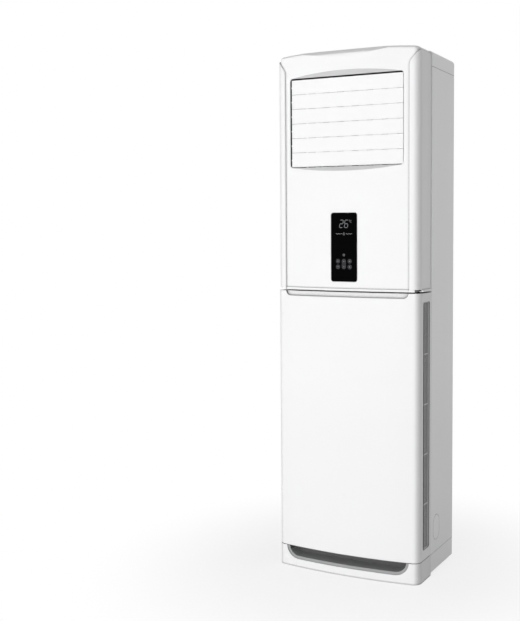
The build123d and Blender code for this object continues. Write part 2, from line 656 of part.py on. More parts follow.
def back_panel():
    """Rear sheet with three pressed beads and the two wall-fixing holes."""
    z0, z1 = PLINTH_H + SLIP, COVER_Z0 - SEAM
    sheet = block(-HALF, HALF, BACK - SHEET_T, BACK, z0, z1)
    bead = RectangleRounded(2 * (HALF - BACK_BEAD_SIDE), BACK_BEAD_W, BACK_BEAD_W / 2 - 1)
    for i in range(BACK_BEADS):
        place = Pos(0, BACK_BEAD_Z + i * BACK_BEAD_PITCH)
        sheet += prism_y(place * bead, BACK, BACK + BACK_BEAD_OUT)
        sheet -= prism_y(place * offset(bead, -SHEET_T), BACK - SHEET_T - 1, BACK + BACK_BEAD_OUT - SHEET_T)
    for x in (-WALL_HOLE_X, WALL_HOLE_X):
        sheet -= rod("Y", (x, BACK - 5, WALL_HOLE_Z), 10, WALL_HOLE_R)
    for x, z in screw_places():
        sheet -= rod("Y", (x, BACK - 5, z), 10, SCREW_R + SLIP)
    return sheet


def top_cover():
    """Pressed cover under the arch: a flange down each side and the back, a rim round its front."""
    def hood(inset, edge_r):
        body = block(-HALF + inset, HALF - inset, SHEET_Y0 - (1 if inset else 0), BACK - inset,
                     COVER_Z0 - (1 if inset else 0), HEIGHT + 5) & arch(COVER_DROP + inset)
        edges = [e for e in body.edges() if e.bounding_box().min.Z > COVER_Z0 + 10
                 and e.center().Y > SHEET_Y0 + 1]
        return fillet(edges, edge_r)
    skin = hood(0, COVER_EDGE_R)
    rim = (skin - hood(COVER_RIM, COVER_EDGE_R - COVER_RIM)) & block(
        -HALF, HALF, SHEET_Y0, SHEET_Y0 + SHEET_T, COVER_Z0, HEIGHT)
    return skin - hood(SHEET_T, COVER_EDGE_R - SHEET_T) + rim


def screw_places():
    """Places of the back panel's screws, along both rear flanges."""
    x = HALF - FLANGE / 2
    pitch = (HEIGHT - SCREW_DROP - SCREW_Z) / (SCREWS - 1)
    return [(side * x, SCREW_Z + i * pitch) for side in (-1, 1) for i in range(SCREWS)]


def cabinet_screws():
    """Pan-head screws through the back panel into the side panels' flanges."""
    screws = []
    for x, z in screw_places():
        head = rod("Y", (x, BACK, z), SCREW_HEAD_H, SCREW_HEAD_R)
        head = chamfer(head.edges().sort_by(Axis.Y)[-1], SCREW_HEAD_H / 3)
        screws.append(head + rod("Y", (x, BACK - SHEET_T, z), SHEET_T, SCREW_R))
    return screws


# ------------------------------------------------------------------ outlet frame and louvres
def blade_z(i):
    """Height of a blade's pivot, counted from the top."""
    return BLADE_TOP - (i + 0.5) * BLADE_PITCH


def vane_x(i):
    """Place of a guide vane across the outlet."""
    return (i - (VANES - 1) / 2) * VANE_PITCH


def outlet_frame():
    """Rectangular collar that carries the blades at its sides and the vanes at its top and floor."""
    y0, y1 = at(OUTLET_PLANE) + SLIP, at(FRAME_END)
    frame = prism_y(rounded(OUTLET_HALF, OUTLET_Z0, OUTLET_Z1, FRAME_R, FRAME_T), y0, y1)
    frame -= prism_y(rounded(OUTLET_HALF, OUTLET_Z0, OUTLET_Z1, FRAME_R), y0 - 1, y1 + 1)
    hole = LOUVRE_PIN_R + LOUVRE_PIN_SLACK
    for i in range(BLADES):
        z = blade_z(i)
        frame -= rod("X", (-HALF, PIVOT_Y, z), WIDTH, hole)
        frame -= block(OUTLET_HALF - 1, HALF, y0 - 1, PIVOT_Y, z - hole, z + hole)
    for i in range(VANES):
        foot = (vane_x(i), at(VANE_PIVOT), OUTLET_Z0 - 2 * FRAME_T)
        frame -= rod("Z", foot, OUTLET_H + 4 * FRAME_T, VANE_PIN_R + LOUVRE_PIN_SLACK)
    return frame


def louvre_blade(i):
    """Blade with a crowned back, a pin at each end, and a crank outside the frame."""
    half_h = (BLADE_PITCH - BLADE_GAP) / 2
    y0 = at(BLADE_FRONT)
    edge_y = y0 + BLADE_EDGE_T
    back = ThreePointArc((edge_y, half_h), (y0 + BLADE_T, 0), (edge_y, -half_h))
    front = Polyline((edge_y, -half_h), (y0, -half_h), (y0, half_h), (edge_y, half_h))
    blade = prism_x(make_face(back + front), -BLADE_HALF, BLADE_HALF)
    boss = LOUVRE_PIN_R + BOSS_WALL
    for x in (-BLADE_HALF, BLADE_HALF - BOSS_L):
        blade += rod("X", (x, PIVOT_Y, 0), BOSS_L, boss)
        blade += block(x, x + BOSS_L, y0 + BLADE_EDGE_T, PIVOT_Y, -boss, boss)
    left_end = OUTLET_HALF + FRAME_T + 4
    blade += rod("X", (-left_end, PIVOT_Y, 0), left_end - BLADE_HALF, LOUVRE_PIN_R)
    blade += rod("X", (BLADE_HALF, PIVOT_Y, 0), CRANK_X - BLADE_HALF, LOUVRE_PIN_R)
    return Pos(0, 0, blade_z(i)) * (blade + louvre_crank())


def louvre_crank():
    """The arm at a blade's right end, with the pin for the link bar."""
    pin_y = PIVOT_Y + CRANK_R
    crank = rod("X", (CRANK_X, PIVOT_Y, 0), CRANK_T, LOUVRE_PIN_R + 2)
    crank += rod("X", (CRANK_X, pin_y, 0), CRANK_T, CRANK_PIN_R + 2)
    crank += block(CRANK_X, CRANK_X + CRANK_T, PIVOT_Y, pin_y, -CRANK_W / 2, CRANK_W / 2)
    return crank + rod("X", (CRANK_X + CRANK_T, pin_y, 0), LINK_T + 1.5, CRANK_PIN_R)


def louvre_link_bar():
    """Flat bar that joins the six cranks."""
    x0 = CRANK_X + CRANK_T + SLIP
    y = PIVOT_Y + CRANK_R
    z0, z1 = blade_z(BLADES - 1) - LINK_W / 2 - 2, blade_z(0) + LINK_W / 2 + 2
    bar = block(x0, x0 + LINK_T, y - LINK_W / 2, y + LINK_W / 2, z0, z1)
    bar = fillet(bar.edges().filter_by(Axis.X), 3)
    for i in range(BLADES):
        bar -= rod("X", (x0 - 1, y, blade_z(i)), LINK_T + 2, CRANK_PIN_R + LOUVRE_PIN_SLACK)
    return bar


def guide_vane(i):
    """Upright vane with a pin at each end and a clip pin across a notch in its rear edge."""
    x, y = vane_x(i), at(VANE_PIVOT)
    z0, z1 = OUTLET_Z0 + VANE_END_GAP, OUTLET_Z1 - VANE_END_GAP
    vane = block(x - VANE_T / 2, x + VANE_T / 2, y - VANE_FRONT, y + VANE_BACK, z0, z1)
    vane = fillet(vane.edges().filter_by(Axis.X), 8)
    half_notch = VANE_NOTCH_H / 2
    vane -= block(x - 5, x + 5, y + VANE_CLIP_R - 6, y + VANE_BACK + 1,
                  VANE_LINK_Z - half_notch, VANE_LINK_Z + half_notch)
    vane += rod("Z", (x, y + VANE_CLIP_R, VANE_LINK_Z - half_notch), VANE_NOTCH_H, VANE_CLIP_PIN_R)
    vane += rod("Z", (x, y, OUTLET_Z0 - FRAME_T - 1), z0 - OUTLET_Z0 + FRAME_T + 9, VANE_PIN_R)
    vane += rod("Z", (x, y, z1 - 8), OUTLET_Z1 - z1 + FRAME_T + 9, VANE_PIN_R)
    return vane


def vane_link_bar():
    """Flat bar that joins the vanes' clip pins."""
    y = at(VANE_PIVOT) + VANE_CLIP_R
    x1 = vane_x(VANES - 1) + 7
    bar = block(-x1, x1, y - VANE_LINK_W / 2, y + VANE_LINK_W / 2, VANE_LINK_Z - 1.5, VANE_LINK_Z + 1.5)
    for i in range(VANES):
        bar -= rod("Z", (vane_x(i), y, VANE_LINK_Z - 5), 10, VANE_CLIP_PIN_R + LOUVRE_PIN_SLACK)
    return bar


def stepping_motor():
    """Small geared motor, shaft end up at its origin, with two fixing ears."""
    can = Cylinder(STEPPER_R, STEPPER_L, align=(Align.CENTER, Align.CENTER, Align.MAX))
    plate = extrude(SlotOverall(2 * (STEPPER_R + STEPPER_EAR), STEPPER_EAR), -1)
    ear = STEPPER_R + STEPPER_EAR / 2
    for x in (-ear, ear):
        plate -= Pos(x, 0, 0) * Cylinder(1.6, 5)
    return can + plate + Pos(0, STEPPER_R, -STEPPER_L / 2) * Box(12, 8, 10)


def louvre_motor():
    """Stepping motor outside the frame that turns the third blade."""
    x = -(OUTLET_HALF + FRAME_T)
    z = blade_z(2)
    motor = Pos(x, PIVOT_Y + STEPPER_OFFSET, z) * Rot(0, 90, 0) * stepping_motor()
    return motor - rod("X", (x - 6, PIVOT_Y, z), 7, LOUVRE_PIN_R + LOUVRE_PIN_SLACK)


def vane_motor():
    """Stepping motor under the frame that turns the middle vane."""
    z = OUTLET_Z0 - FRAME_T
    motor = Pos(0, at(VANE_PIVOT) + STEPPER_OFFSET, z) * stepping_motor()
    return motor - rod("Z", (0, at(VANE_PIVOT), z - 4), 5, VANE_PIN_R + LOUVRE_PIN_SLACK)


# ------------------------------------------------------------------ control window
def key_outline(column_no, row, grow=0.0):
    """A key in the front view: round, or one half of the upright capsule in the middle."""
    z = KEY_TOP_Z if row == 0 else KEY_LOW_Z
    if column_no != 0:
        return Pos(column_no * KEY_COLUMN, z) * Circle(KEY_R + grow)
    mid = (KEY_TOP_Z + KEY_LOW_Z) / 2
    up = 1 if row == 0 else -1
    length = KEY_TOP_Z - KEY_LOW_Z + 2 * (KEY_R + grow)
    capsule = Pos(0, mid) * Rot(0, 0, 90) * SlotOverall(length, 2 * (KEY_R + grow))
    edge = KEY_SPLIT / 2 - grow
    return capsule & (Pos(0, mid + up * (edge + 20)) * Rectangle(60, 40))


def display_window():
    """Gloss window with a flange behind the panel, a hole for each key and four board posts."""
    def slab(depth, grow):
        outline = rounded(WINDOW_HALF, WINDOW_Z0, WINDOW_Z1, WINDOW_R, grow)
        return prism_y(outline, at(depth), at(WINDOW_BACK))
    window = slab(WINDOW_FRONT, 0) + slab(WINDOW_BACK - WINDOW_FLANGE_T, WINDOW_FLANGE_W)
    for column_no in (-1, 0, 1):
        for row in (0, 1):
            window -= prism_y(key_outline(column_no, row, SLIP), at(0), at(WINDOW_BACK + 1))
    for x in (-WINDOW_HALF + 6, WINDOW_HALF - 6):
        for z in (WINDOW_Z0 + 8, WINDOW_Z1 - 8):
            window += rod("Y", (x, at(WINDOW_BACK), z), BOARD_DEPTH - WINDOW_BACK, 3)
    return window


def push_key(column_no, row):
    """Key cap with a flange behind the window and a stem towards its switch."""
    front = at(WINDOW_FRONT - KEY_PROUD)
    flange_y = at(WINDOW_BACK) + SLIP
    cap = prism_y(key_outline(column_no, row), front, flange_y + KEY_FLANGE_T)
    grow = KEY_FLANGE_W if column_no else KEY_SPLIT / 2 - 0.3
    cap += prism_y(key_outline(column_no, row, grow), flange_y, flange_y + KEY_FLANGE_T)
    z = KEY_TOP_Z if row == 0 else KEY_LOW_Z
    start = flange_y + KEY_FLANGE_T
    stem = at(BOARD_DEPTH) - KEY_TRAVEL - SLIP - start
    return cap + rod("Y", (column_no * KEY_COLUMN, start, z), stem, KEY_STEM_R)


def display_board():
    """Circuit board behind the window, with the read-out's housing."""
    y0 = at(BOARD_DEPTH)
    board = prism_y(rounded(WINDOW_HALF - 1, WINDOW_Z0 + 2, WINDOW_Z1 - 2, 2), y0, y0 + BOARD_T)
    z1 = WINDOW_Z1 - READ_OUT_DROP
    board += block(-READ_OUT_HALF, READ_OUT_HALF, at(WINDOW_BACK) + SLIP, y0, z1 - READ_OUT_H, z1)
    y1, z0 = y0 + BOARD_T, WINDOW_Z0 + CONNECTOR_RISE
    return board + block(-CONNECTOR_HALF, CONNECTOR_HALF, y1, y1 + CONNECTOR_D, z0, z0 + CONNECTOR_H)


# ------------------------------------------------------------------ blower
def scroll_outline(inset):
    """The scroll in the front view, from its tongue round to the upright outlet neck."""
    def point(i):
        turn = i / SCROLL_STEPS
        angle = math.radians(SCROLL_START + turn * (360 - SCROLL_START))
        r = SCROLL_START_R + turn * (SCROLL_END_R - SCROLL_START_R) - inset
        return (FAN_X + r * math.cos(angle), FAN_Z + r * math.sin(angle))
    points = [point(i) for i in range(SCROLL_STEPS + 1)]
    top = SHELF_Z + (5 if inset else 0)
    tongue, end = points[0], points[-1]
    curve = Spline(*points, tangents=[(-math.sin(math.radians(SCROLL_START)),
                                       math.cos(math.radians(SCROLL_START))), (0, 1)])
    neck = Polyline(end, (end[0], top), (tongue[0], top), tongue)
    return make_face(curve + neck)


def blower_housing():
    """Scroll housing, open at its front and at the top of its neck, with the motor's hole behind."""
    y0, y1 = WALL_Y + SHEET_T, at(SCROLL_BACK)
    housing = prism_y(scroll_outline(0), y0, y1)
    housing -= prism_y(scroll_outline(SCROLL_T), y0 - 1, y1 - SCROLL_T)
    return housing - rod("Y", (FAN_X, y1 - 5, FAN_Z), 10, MOTOR_R + 2)


def inlet_bulkhead():
    """Sheet across the cabinet in front of the blower, with the bellmouth drawn into it."""
    y0, y1 = WALL_Y, WALL_Y + SHEET_T
    plate = block(-HALF + SHEET_T + SLIP, HALF - SHEET_T - SLIP, y0, y1, PLINTH_H + 3, SHELF_Z)
    plate -= rod("Y", (FAN_X, y0 - 1, FAN_Z), 10, BELL_R)
    return plate + Pos(FAN_X, y0, FAN_Z) * bellmouth()


def bellmouth():
    """The rounded inlet, turned about the fan's axis; it narrows towards the wheel."""
    def curve(inset, reverse):
        mouth = (BELL_R, inset)
        middle = (THROAT_R + 0.293 * BELL_FLARE + 0.7 * inset, 0.176 * BELL_FLARE + 0.7 * inset)
        throat = (THROAT_R + inset, 0.6 * BELL_FLARE)
        return ThreePointArc(throat, middle, mouth) if reverse else ThreePointArc(mouth, middle, throat)
    throat_edge = Line((THROAT_R, 0.6 * BELL_FLARE), (THROAT_R + SHEET_T, 0.6 * BELL_FLARE))
    mouth_edge = Line((BELL_R, SHEET_T), (BELL_R, 0))
    profile = make_face(curve(0, False) + throat_edge + curve(SHEET_T, True) + mouth_edge)
    return revolve(Plane.XY * profile, Axis.Y)


def fan_blade():
    """One forward-curved blade, as a prism between the wheel's plate and ring."""
    r0, r1 = FAN_BLADE_IN_R, FAN_R - 0.5
    middle, sag, tip = (r0 + r1) / 2, 0.2 * FAN_BLADE_SWEEP, FAN_BLADE_SWEEP
    front = ThreePointArc((r0, 0), (middle, sag), (r1, tip))
    back = ThreePointArc((r1, tip + FAN_BLADE_T), (middle, sag + FAN_BLADE_T), (r0, FAN_BLADE_T))
    outer = Line((r1, tip), (r1, tip + FAN_BLADE_T))
    inner = Line((r0, FAN_BLADE_T), (r0, 0))
    face = make_face(front + outer + back + inner)
    return prism_y(face, at(FAN_FRONT), at(FAN_BACK) - FAN_PLATE_T / 2)


def fan_wheel():
    """Centrifugal wheel: back plate with a deep hub, front ring, and blades curved forward."""
    y0, y1 = at(FAN_FRONT), at(FAN_BACK)
    plate = rod("Y", (0, y1 - FAN_PLATE_T, 0), FAN_PLATE_T, FAN_R)
    ring = rod("Y", (0, y0, 0), FAN_RING_L, FAN_R)
    ring -= rod("Y", (0, y0 - 1, 0), FAN_RING_L + 2, FAN_BLADE_IN_R + FAN_BLADE_W / 3)
    hub = rod("Y", (0, y1 - FAN_HUB_L, 0), FAN_HUB_L, FAN_HUB_R)
    wheel = plate + ring + hub
    blade = fan_blade()
    for i in range(FAN_BLADES):
        wheel += Rot(0, i * 360 / FAN_BLADES, 0) * blade
    wheel -= rod("Y", (0, y0, 0), y1 - y0 + 5, SHAFT_R)
    return Pos(FAN_X, 0, FAN_Z) * wheel


def fan_shaft():
    """Motor shaft with the nut that holds the wheel."""
    y0 = at(FAN_BACK) - FAN_HUB_L
    shaft = rod("Y", (FAN_X, y0 - SHAFT_NOSE, FAN_Z), SHAFT_NOSE + FAN_HUB_L + SHAFT_TAIL, SHAFT_R)
    nut = Plane.XZ.offset(-y0) * (Pos(FAN_X, FAN_Z) * RegularPolygon(SHAFT_NUT_R, 6))
    return shaft + extrude(nut, SHAFT_NUT_T)


def fan_motor():
    """Round motor with a stepped front boss, bored for its shaft."""
    y0 = at(SCROLL_BACK) + BRACKET_T
    motor = rod("Y", (FAN_X, y0, FAN_Z), at(MOTOR_BACK) - y0, MOTOR_R)
    motor = fillet(motor.edges().sort_by(Axis.Y)[-1], 8)
    motor += rod("Y", (FAN_X, y0 - BOSS_H, FAN_Z), BOSS_H, MOTOR_R - BOSS_STEP)
    bore_end = at(FAN_BACK) + SHAFT_TAIL + 9
    return motor - rod("Y", (FAN_X, y0 - 20, FAN_Z), bore_end - y0 + 20, SHAFT_R + SHAFT_SLACK)


def motor_bracket():
    """Ring with three arms that holds the motor to the back of the scroll."""
    y0 = at(SCROLL_BACK)
    ring = rod("Y", (0, y0, 0), BRACKET_T, BRACKET_R)
    ring -= rod("Y", (0, y0 - 1, 0), 10, MOTOR_R - BOSS_STEP + SLIP)
    half_w = BRACKET_ARM_W / 2
    for i in range(3):
        arm = block(BRACKET_R - 5, BRACKET_R + BRACKET_ARM_L, y0, y0 + BRACKET_T, -half_w, half_w)
        arm -= rod("Y", (BRACKET_R + BRACKET_ARM_L - 10, y0 - 1, 0), 10, 3)
        ring += Rot(0, 90 + i * 120, 0) * arm
    return Pos(FAN_X, 0, FAN_Z) * ring


def partition_plate():
    """Shelf between the blower and the coil, with a hole over the blower's neck."""
    half = HALF - SHEET_T - SLIP
    y0, y1 = WALL_Y, BACK - 2 * SHEET_T - SLIP
    plate = block(-half, half, y0, y1, SHELF_Z, SHELF_Z + SHEET_T)
    a = math.radians(SCROLL_START)
    x0 = FAN_X + SCROLL_START_R * math.cos(a) + SCROLL_T
    x1 = FAN_X + SCROLL_END_R - SCROLL_T
    plate -= block(x0, x1, y0 + 2 * SHEET_T, at(SCROLL_BACK) - SCROLL_T, SHELF_Z - 5, SHELF_Z + 5)
    plate -= rod("Z", (*hose_place(), SHELF_Z - 5), 10, HOSE_R + 2)
    notch_x = HALF - SHEET_T - PIPE_INSET - PIPE_ROOM
    notch_y0, notch_y1 = at(LIQUID_PIPE_DEPTH - PIPE_ROOM), at(GAS_PIPE_DEPTH + PIPE_ROOM)
    return plate - block(notch_x, HALF, notch_y0, notch_y1, SHELF_Z - 5, SHELF_Z + 5)


# ------------------------------------------------------------------ evaporator
COIL = Pos(0, at(COIL_DEPTH), COIL_Z) * Rot(-COIL_TILT, 0, 0)


def tube_place(row, i):
    """Place of a tube in the coil's own frame: across its thickness and along it."""
    return ((row - (TUBE_ROWS - 1) / 2) * ROW_PITCH, (i - (TUBES - 1) / 2) * TUBE_PITCH)


def evaporator_fins():
    """Finned pack, bored for its tubes."""
    pack = Box(2 * COIL_HALF, COIL_T, COIL_L)
    for row in range(TUBE_ROWS):
        for i in range(TUBES):
            y, z = tube_place(row, i)
            pack -= rod("X", (-COIL_HALF - 1, y, z), 2 * COIL_HALF + 2, TUBE_R)
    return COIL * pack


def coil_end_plates():
    """Two flanged end plates that hang the coil between the side panels."""
    plates = []
    reach = HALF - SHEET_T - SLIP
    for side in (-1, 1):
        x0, x1 = sorted((side * COIL_HALF, side * (COIL_HALF + 1.5)))
        plate = block(x0, x1, -COIL_T / 2 - 2, COIL_T / 2 + 2, -COIL_L / 2 - 5, COIL_L / 2 + 5)
        x0, x1 = sorted((side * COIL_HALF, side * reach))
        plate += block(x0, x1, -COIL_T / 2 - 3.5, -COIL_T / 2 - 2, -COIL_L / 2 - 5, COIL_L / 2 + 5)
        for row in range(TUBE_ROWS):
            for i in range(TUBES):
                y, z = tube_place(row, i)
                plate -= rod("X", (-HALF, y, z), WIDTH, TUBE_R)
        plates.append(COIL * plate)
    return plates


def evaporator_tubes():
    """Two rows of straight tubes joined end to end by return bends."""
    rows = []
    reach = COIL_HALF + 6
    for row in range(TUBE_ROWS):
        tubes = None
        for i in range(TUBES):
            y, z = tube_place(row, i)
            end = COIL_HALF + TUBE_STUB if i == 0 else reach
            straight = rod("X", (-reach, y, z), reach + end, TUBE_R)
            tubes = straight if tubes is None else tubes + straight
            if i + 1 < TUBES:
                side = -1 if i % 2 == 0 else 1
                far, rise = side * (reach + TUBE_BEND), TUBE_BEND - 2
                path = Plane.XZ.offset(-y) * Polyline((side * reach, z), (far, z + rise),
                                                      (far, z + TUBE_PITCH - rise),
                                                      (side * reach, z + TUBE_PITCH))
                start = Plane(origin=(side * reach, y, z), z_dir=(side * TUBE_BEND, 0, rise))
                tubes += sweep(start * Circle(TUBE_R), path, transition=Transition.RIGHT)
        rows.append(COIL * tubes)
    return rows


def hose_place():
    """Place of the drain spout and of the hose's upper end."""
    return -HALF + SHEET_T + SLIP + HOSE_SIDE, WALL_Y + SHEET_T + TROUGH_DEPTH / 2


def drain_pan():
    """Trough under the coil's low edge, with a spout at one end."""
    half = HALF - SHEET_T - SLIP
    y0 = WALL_Y + SHEET_T
    y1 = y0 + TROUGH_DEPTH
    trough = block(-half, half, y0, y1, PAN_Z, PAN_Z + PAN_H)
    trough -= block(-half + PAN_WALL, half - PAN_WALL, y0 + PAN_WALL, y1 - PAN_WALL,
                    PAN_Z + PAN_WALL, PAN_Z + PAN_H + 1)
    x, y = hose_place()
    spout = rod("Z", (x, y, PAN_Z - SPOUT_L), SPOUT_L, HOSE_R)
    return trough + spout - rod("Z", (x, y, PAN_Z - SPOUT_L - 1), SPOUT_L + 10, HOSE_R - 2)


def duct_front_wall():
    """Sheet between the air duct and the electrics."""
    half = HALF - SHEET_T - SLIP
    return block(-half, half, WALL_Y, WALL_Y + SHEET_T, SHELF_Z + SHEET_T, OUTLET_Z0 - FRAME_T)


def duct_elbow():
    """Foam elbow over the coil that turns the air forward into the outlet frame."""
    half = HALF - FLANGE - SLIP
    y0, y1 = at(FRAME_END) + SLIP, BACK - SHEET_T
    z0, z1, z2 = OUTLET_Z0 + ELBOW_FOOT, OUTLET_Z1, OUTLET_Z1 + ELBOW_TOP
    rear = y1 - ELBOW_BACK
    lip = (y0 + ELBOW_LIP, z1 - 2)
    outside = Polyline(lip, (y0, z1), (y0, z2), (y1, z2), (y1, z0), (rear, z0))
    inside = ThreePointArc((rear, z0), (rear - ELBOW_SWEEP_Y, z1 - ELBOW_SWEEP_Z), lip)
    return prism_x(make_face(outside + inside), -half, half)


# ------------------------------------------------------------------ electrics
def electric_box():
    """Sheet-metal box in front of the duct wall."""
    outer = block(-BOX_HALF, BOX_HALF, at(BOX_FRONT), WALL_Y, BOX_Z0, BOX_Z1)
    inner = block(-BOX_HALF + SHEET_T, BOX_HALF - SHEET_T, at(BOX_FRONT) - 1, WALL_Y - SHEET_T,
                  BOX_Z0 + SHEET_T, BOX_Z1 - SHEET_T)
    return outer - inner


def electric_box_cover():
    """Flat lid with a row of vents."""
    y1 = at(BOX_FRONT)
    lid = block(-BOX_HALF, BOX_HALF, y1 - SHEET_T, y1, BOX_Z0, BOX_Z1)
    z = BOX_Z1 - VENT_DROP
    for i in range(VENTS):
        x = (i - (VENTS - 1) / 2) * VENT_PITCH
        lid -= block(x - VENT_W / 2, x + VENT_W / 2, y1 - 5, y1 + 5, z, z + VENT_H)
    return lid


def control_board():
    """Main board on four posts, with its transformer, capacitor, relay row and heat sink."""
    y1 = WALL_Y - SHEET_T
    y0 = y1 - POST_H
    half, z0, z1 = BOX_HALF - MAIN_BOARD_SIDE, BOX_Z0 + MAIN_BOARD_SILL, BOX_Z1 - MAIN_BOARD_HEAD
    face = y0 - BOARD_T
    board = block(-half, half, face, y0, z0, z1)
    for x in (POST_INSET - half, half - POST_INSET):
        for z in (z0 + POST_INSET, z1 - POST_INSET):
            board += rod("Y", (x, y0, z), POST_H, POST_R)

    def place(across, up):
        """A point on the board, in shares of its half width and of its height."""
        return across * half, z0 + up * (z1 - z0)

    def component(low, high, depth):
        (x0, low_z), (x1, high_z) = place(*low), place(*high)
        return block(x0, x1, face - depth, face, low_z, high_z)

    board += component((-0.84, 0.65), (-0.44, 0.875), TRANSFORMER_D)
    board += component((-0.80, 0.10), (-0.16, 0.175), HEAT_SINK_D)
    for i in range(RELAYS):
        x = 0.2 + 0.176 * i
        board += component((x, 0.70), (x + 0.128, 0.85), RELAY_D)
    x, z = place(-0.04, 0.75)
    return board + rod("Y", (x, face - CAPACITOR_L, z), CAPACITOR_L, CAPACITOR_R)


def terminal_block():
    """Row of five mains terminals under the board, with a barrier on each side of each."""
    y1 = WALL_Y - SHEET_T
    z0 = BOX_Z0 + TERMINAL_Z
    z1 = z0 + TERMINAL_H
    half = TERMINALS * TERMINAL_PITCH / 2
    strip = block(-half, half, y1 - TERMINAL_D, y1, z0, z1)
    for i in range(TERMINALS + 1):
        x = i * TERMINAL_PITCH - half
        strip += block(x - BARRIER_T / 2, x + BARRIER_T / 2, y1 - BARRIER_D, y1, z0, z1)
    return strip


# ------------------------------------------------------------------ pipes
def run_pipe(points, radius, bend):
    """A round pipe along straight runs joined by arcs."""
    path = FilletPolyline(*points, radius=bend)
    start = Plane(origin=path @ 0, z_dir=path % 0)
    return sweep(start * Circle(radius), path)


def coil_point(x, row):
    """A point on the axis of a row's lowest tube, in the cabinet's frame."""
    y, z = tube_place(row, 0)
    place = COIL * Pos(x, y, z)
    return tuple(place.position)


def refrigerant_pipe(row, radius, z_low):
    """Pipe from the end of a coil row down past the blower to its flare nut near the pipe hole."""
    start = coil_point(COIL_HALF + TUBE_STUB, row)
    x = HALF - SHEET_T - PIPE_INSET
    y, y_low = at(GAS_PIPE_DEPTH if row else LIQUID_PIPE_DEPTH), at(NUT_DEPTH)
    points = [start, (x, start[1], start[2]), (x, start[1], start[2] - PIPE_DROP),
              (x, y, start[2] - PIPE_SHIFT_DROP), (x, y, z_low), (x, y_low, z_low)]
    pipe = run_pipe(points, radius, PIPE_BEND_R)
    return pipe + rod("Y", (x, y_low, z_low), NUT_L, radius + NUT_WALL)


def refrigerant_pipes():
    """The gas pipe and the thinner liquid pipe."""
    return [refrigerant_pipe(1, GAS_PIPE_R, PIPE_HOLE_Z + GAS_NUT_RISE),
            refrigerant_pipe(0, LIQUID_PIPE_R, PIPE_HOLE_Z - LIQUID_NUT_DROP)]


def drain_hose():
    """Hose from the pan's spout down through the hole in the base pan."""
    x, y = hose_place()
    x_low, y_low = x - HOSE_SET_OUT, y + HOSE_SET_BACK
    bend = SHELF_Z - HOSE_TOP_L
    points = [(x, y, PAN_Z - SPOUT_L), (x, y, bend), (x_low, y_low, bend - HOSE_SHIFT_L),
              (x_low, y_low, FOOT_H / 2)]
    return run_pipe(points, HOSE_R, HOSE_BEND_R)


# ------------------------------------------------------------------ all nodes
def all_parts():
    """Every node of the assembly by name."""
    parts = {
        "base_pan": base_pan(), "rubber_feet": rubber_feet(), "plinth_cover": plinth_cover(),
        "plinth_recess_lip": plinth_recess_lip(), "plinth_recess_liner": plinth_recess_liner(),
        "left_side_panel": side_panel(-1), "right_side_panel": side_panel(1),
        "pipe_hole_cap": pipe_hole_cap(), "back_panel": back_panel(), "top_cover": top_cover(),
        "cabinet_screws": cabinet_screws(), "upper_front_panel": upper_front_panel(),
        "outlet_frame": outlet_frame(), "louvre_link_bar": louvre_link_bar(),
        "vane_link_bar": vane_link_bar(), "louvre_motor": louvre_motor(), "vane_motor": vane_motor(),
        "display_window": display_window(), "display_board": display_board(),
        "power_key": push_key(-1, 0), "mode_key": push_key(-1, 1), "temp_up_key": push_key(0, 0),
        "temp_down_key": push_key(0, 1), "fan_speed_key": push_key(1, 0), "swing_key": push_key(1, 1),
        "lower_front_panel": lower_front_panel(), "inlet_bulkhead": inlet_bulkhead(),
        "intake_grilles": [intake_grille(-1), intake_grille(1)],
        "intake_filters": [intake_filter(-1), intake_filter(1)],
        "blower_housing": blower_housing(), "fan_wheel": fan_wheel(), "fan_shaft": fan_shaft(),
        "fan_motor": fan_motor(), "motor_bracket": motor_bracket(), "partition_plate": partition_plate(),
        "evaporator_fins": evaporator_fins(), "coil_end_plates": coil_end_plates(),
        "evaporator_tubes": evaporator_tubes(), "drain_pan": drain_pan(), "drain_hose": drain_hose(),
        "refrigerant_pipes": refrigerant_pipes(), "duct_front_wall": duct_front_wall(),
        "duct_elbow": duct_elbow(), "electric_box": electric_box(),
        "electric_box_cover": electric_box_cover(), "control_board": control_board(),
        "terminal_block": terminal_block(),
    }
    for i in range(BLADES):
        parts[f"louvre_blade_{i + 1}"] = louvre_blade(i)
    for i in range(VANES):
        parts[f"guide_vane_{i + 1}"] = guide_vane(i)
    return parts


def write(name, shape):
    """Write one node; a list is a group of separate solids."""
    if isinstance(shape, list):
        shape = Compound(children=[s for group in shape for s in group.solids()])
    export_step(shape, f"parts/{name}.step")


os.makedirs("parts", exist_ok=True)
for node, solid in all_parts().items():
    write(node, solid)
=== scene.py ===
import math

import bmesh
import bpy
from bpy.props import FloatProperty, FloatVectorProperty, IntProperty, PointerProperty
from mathutils import Matrix, Vector


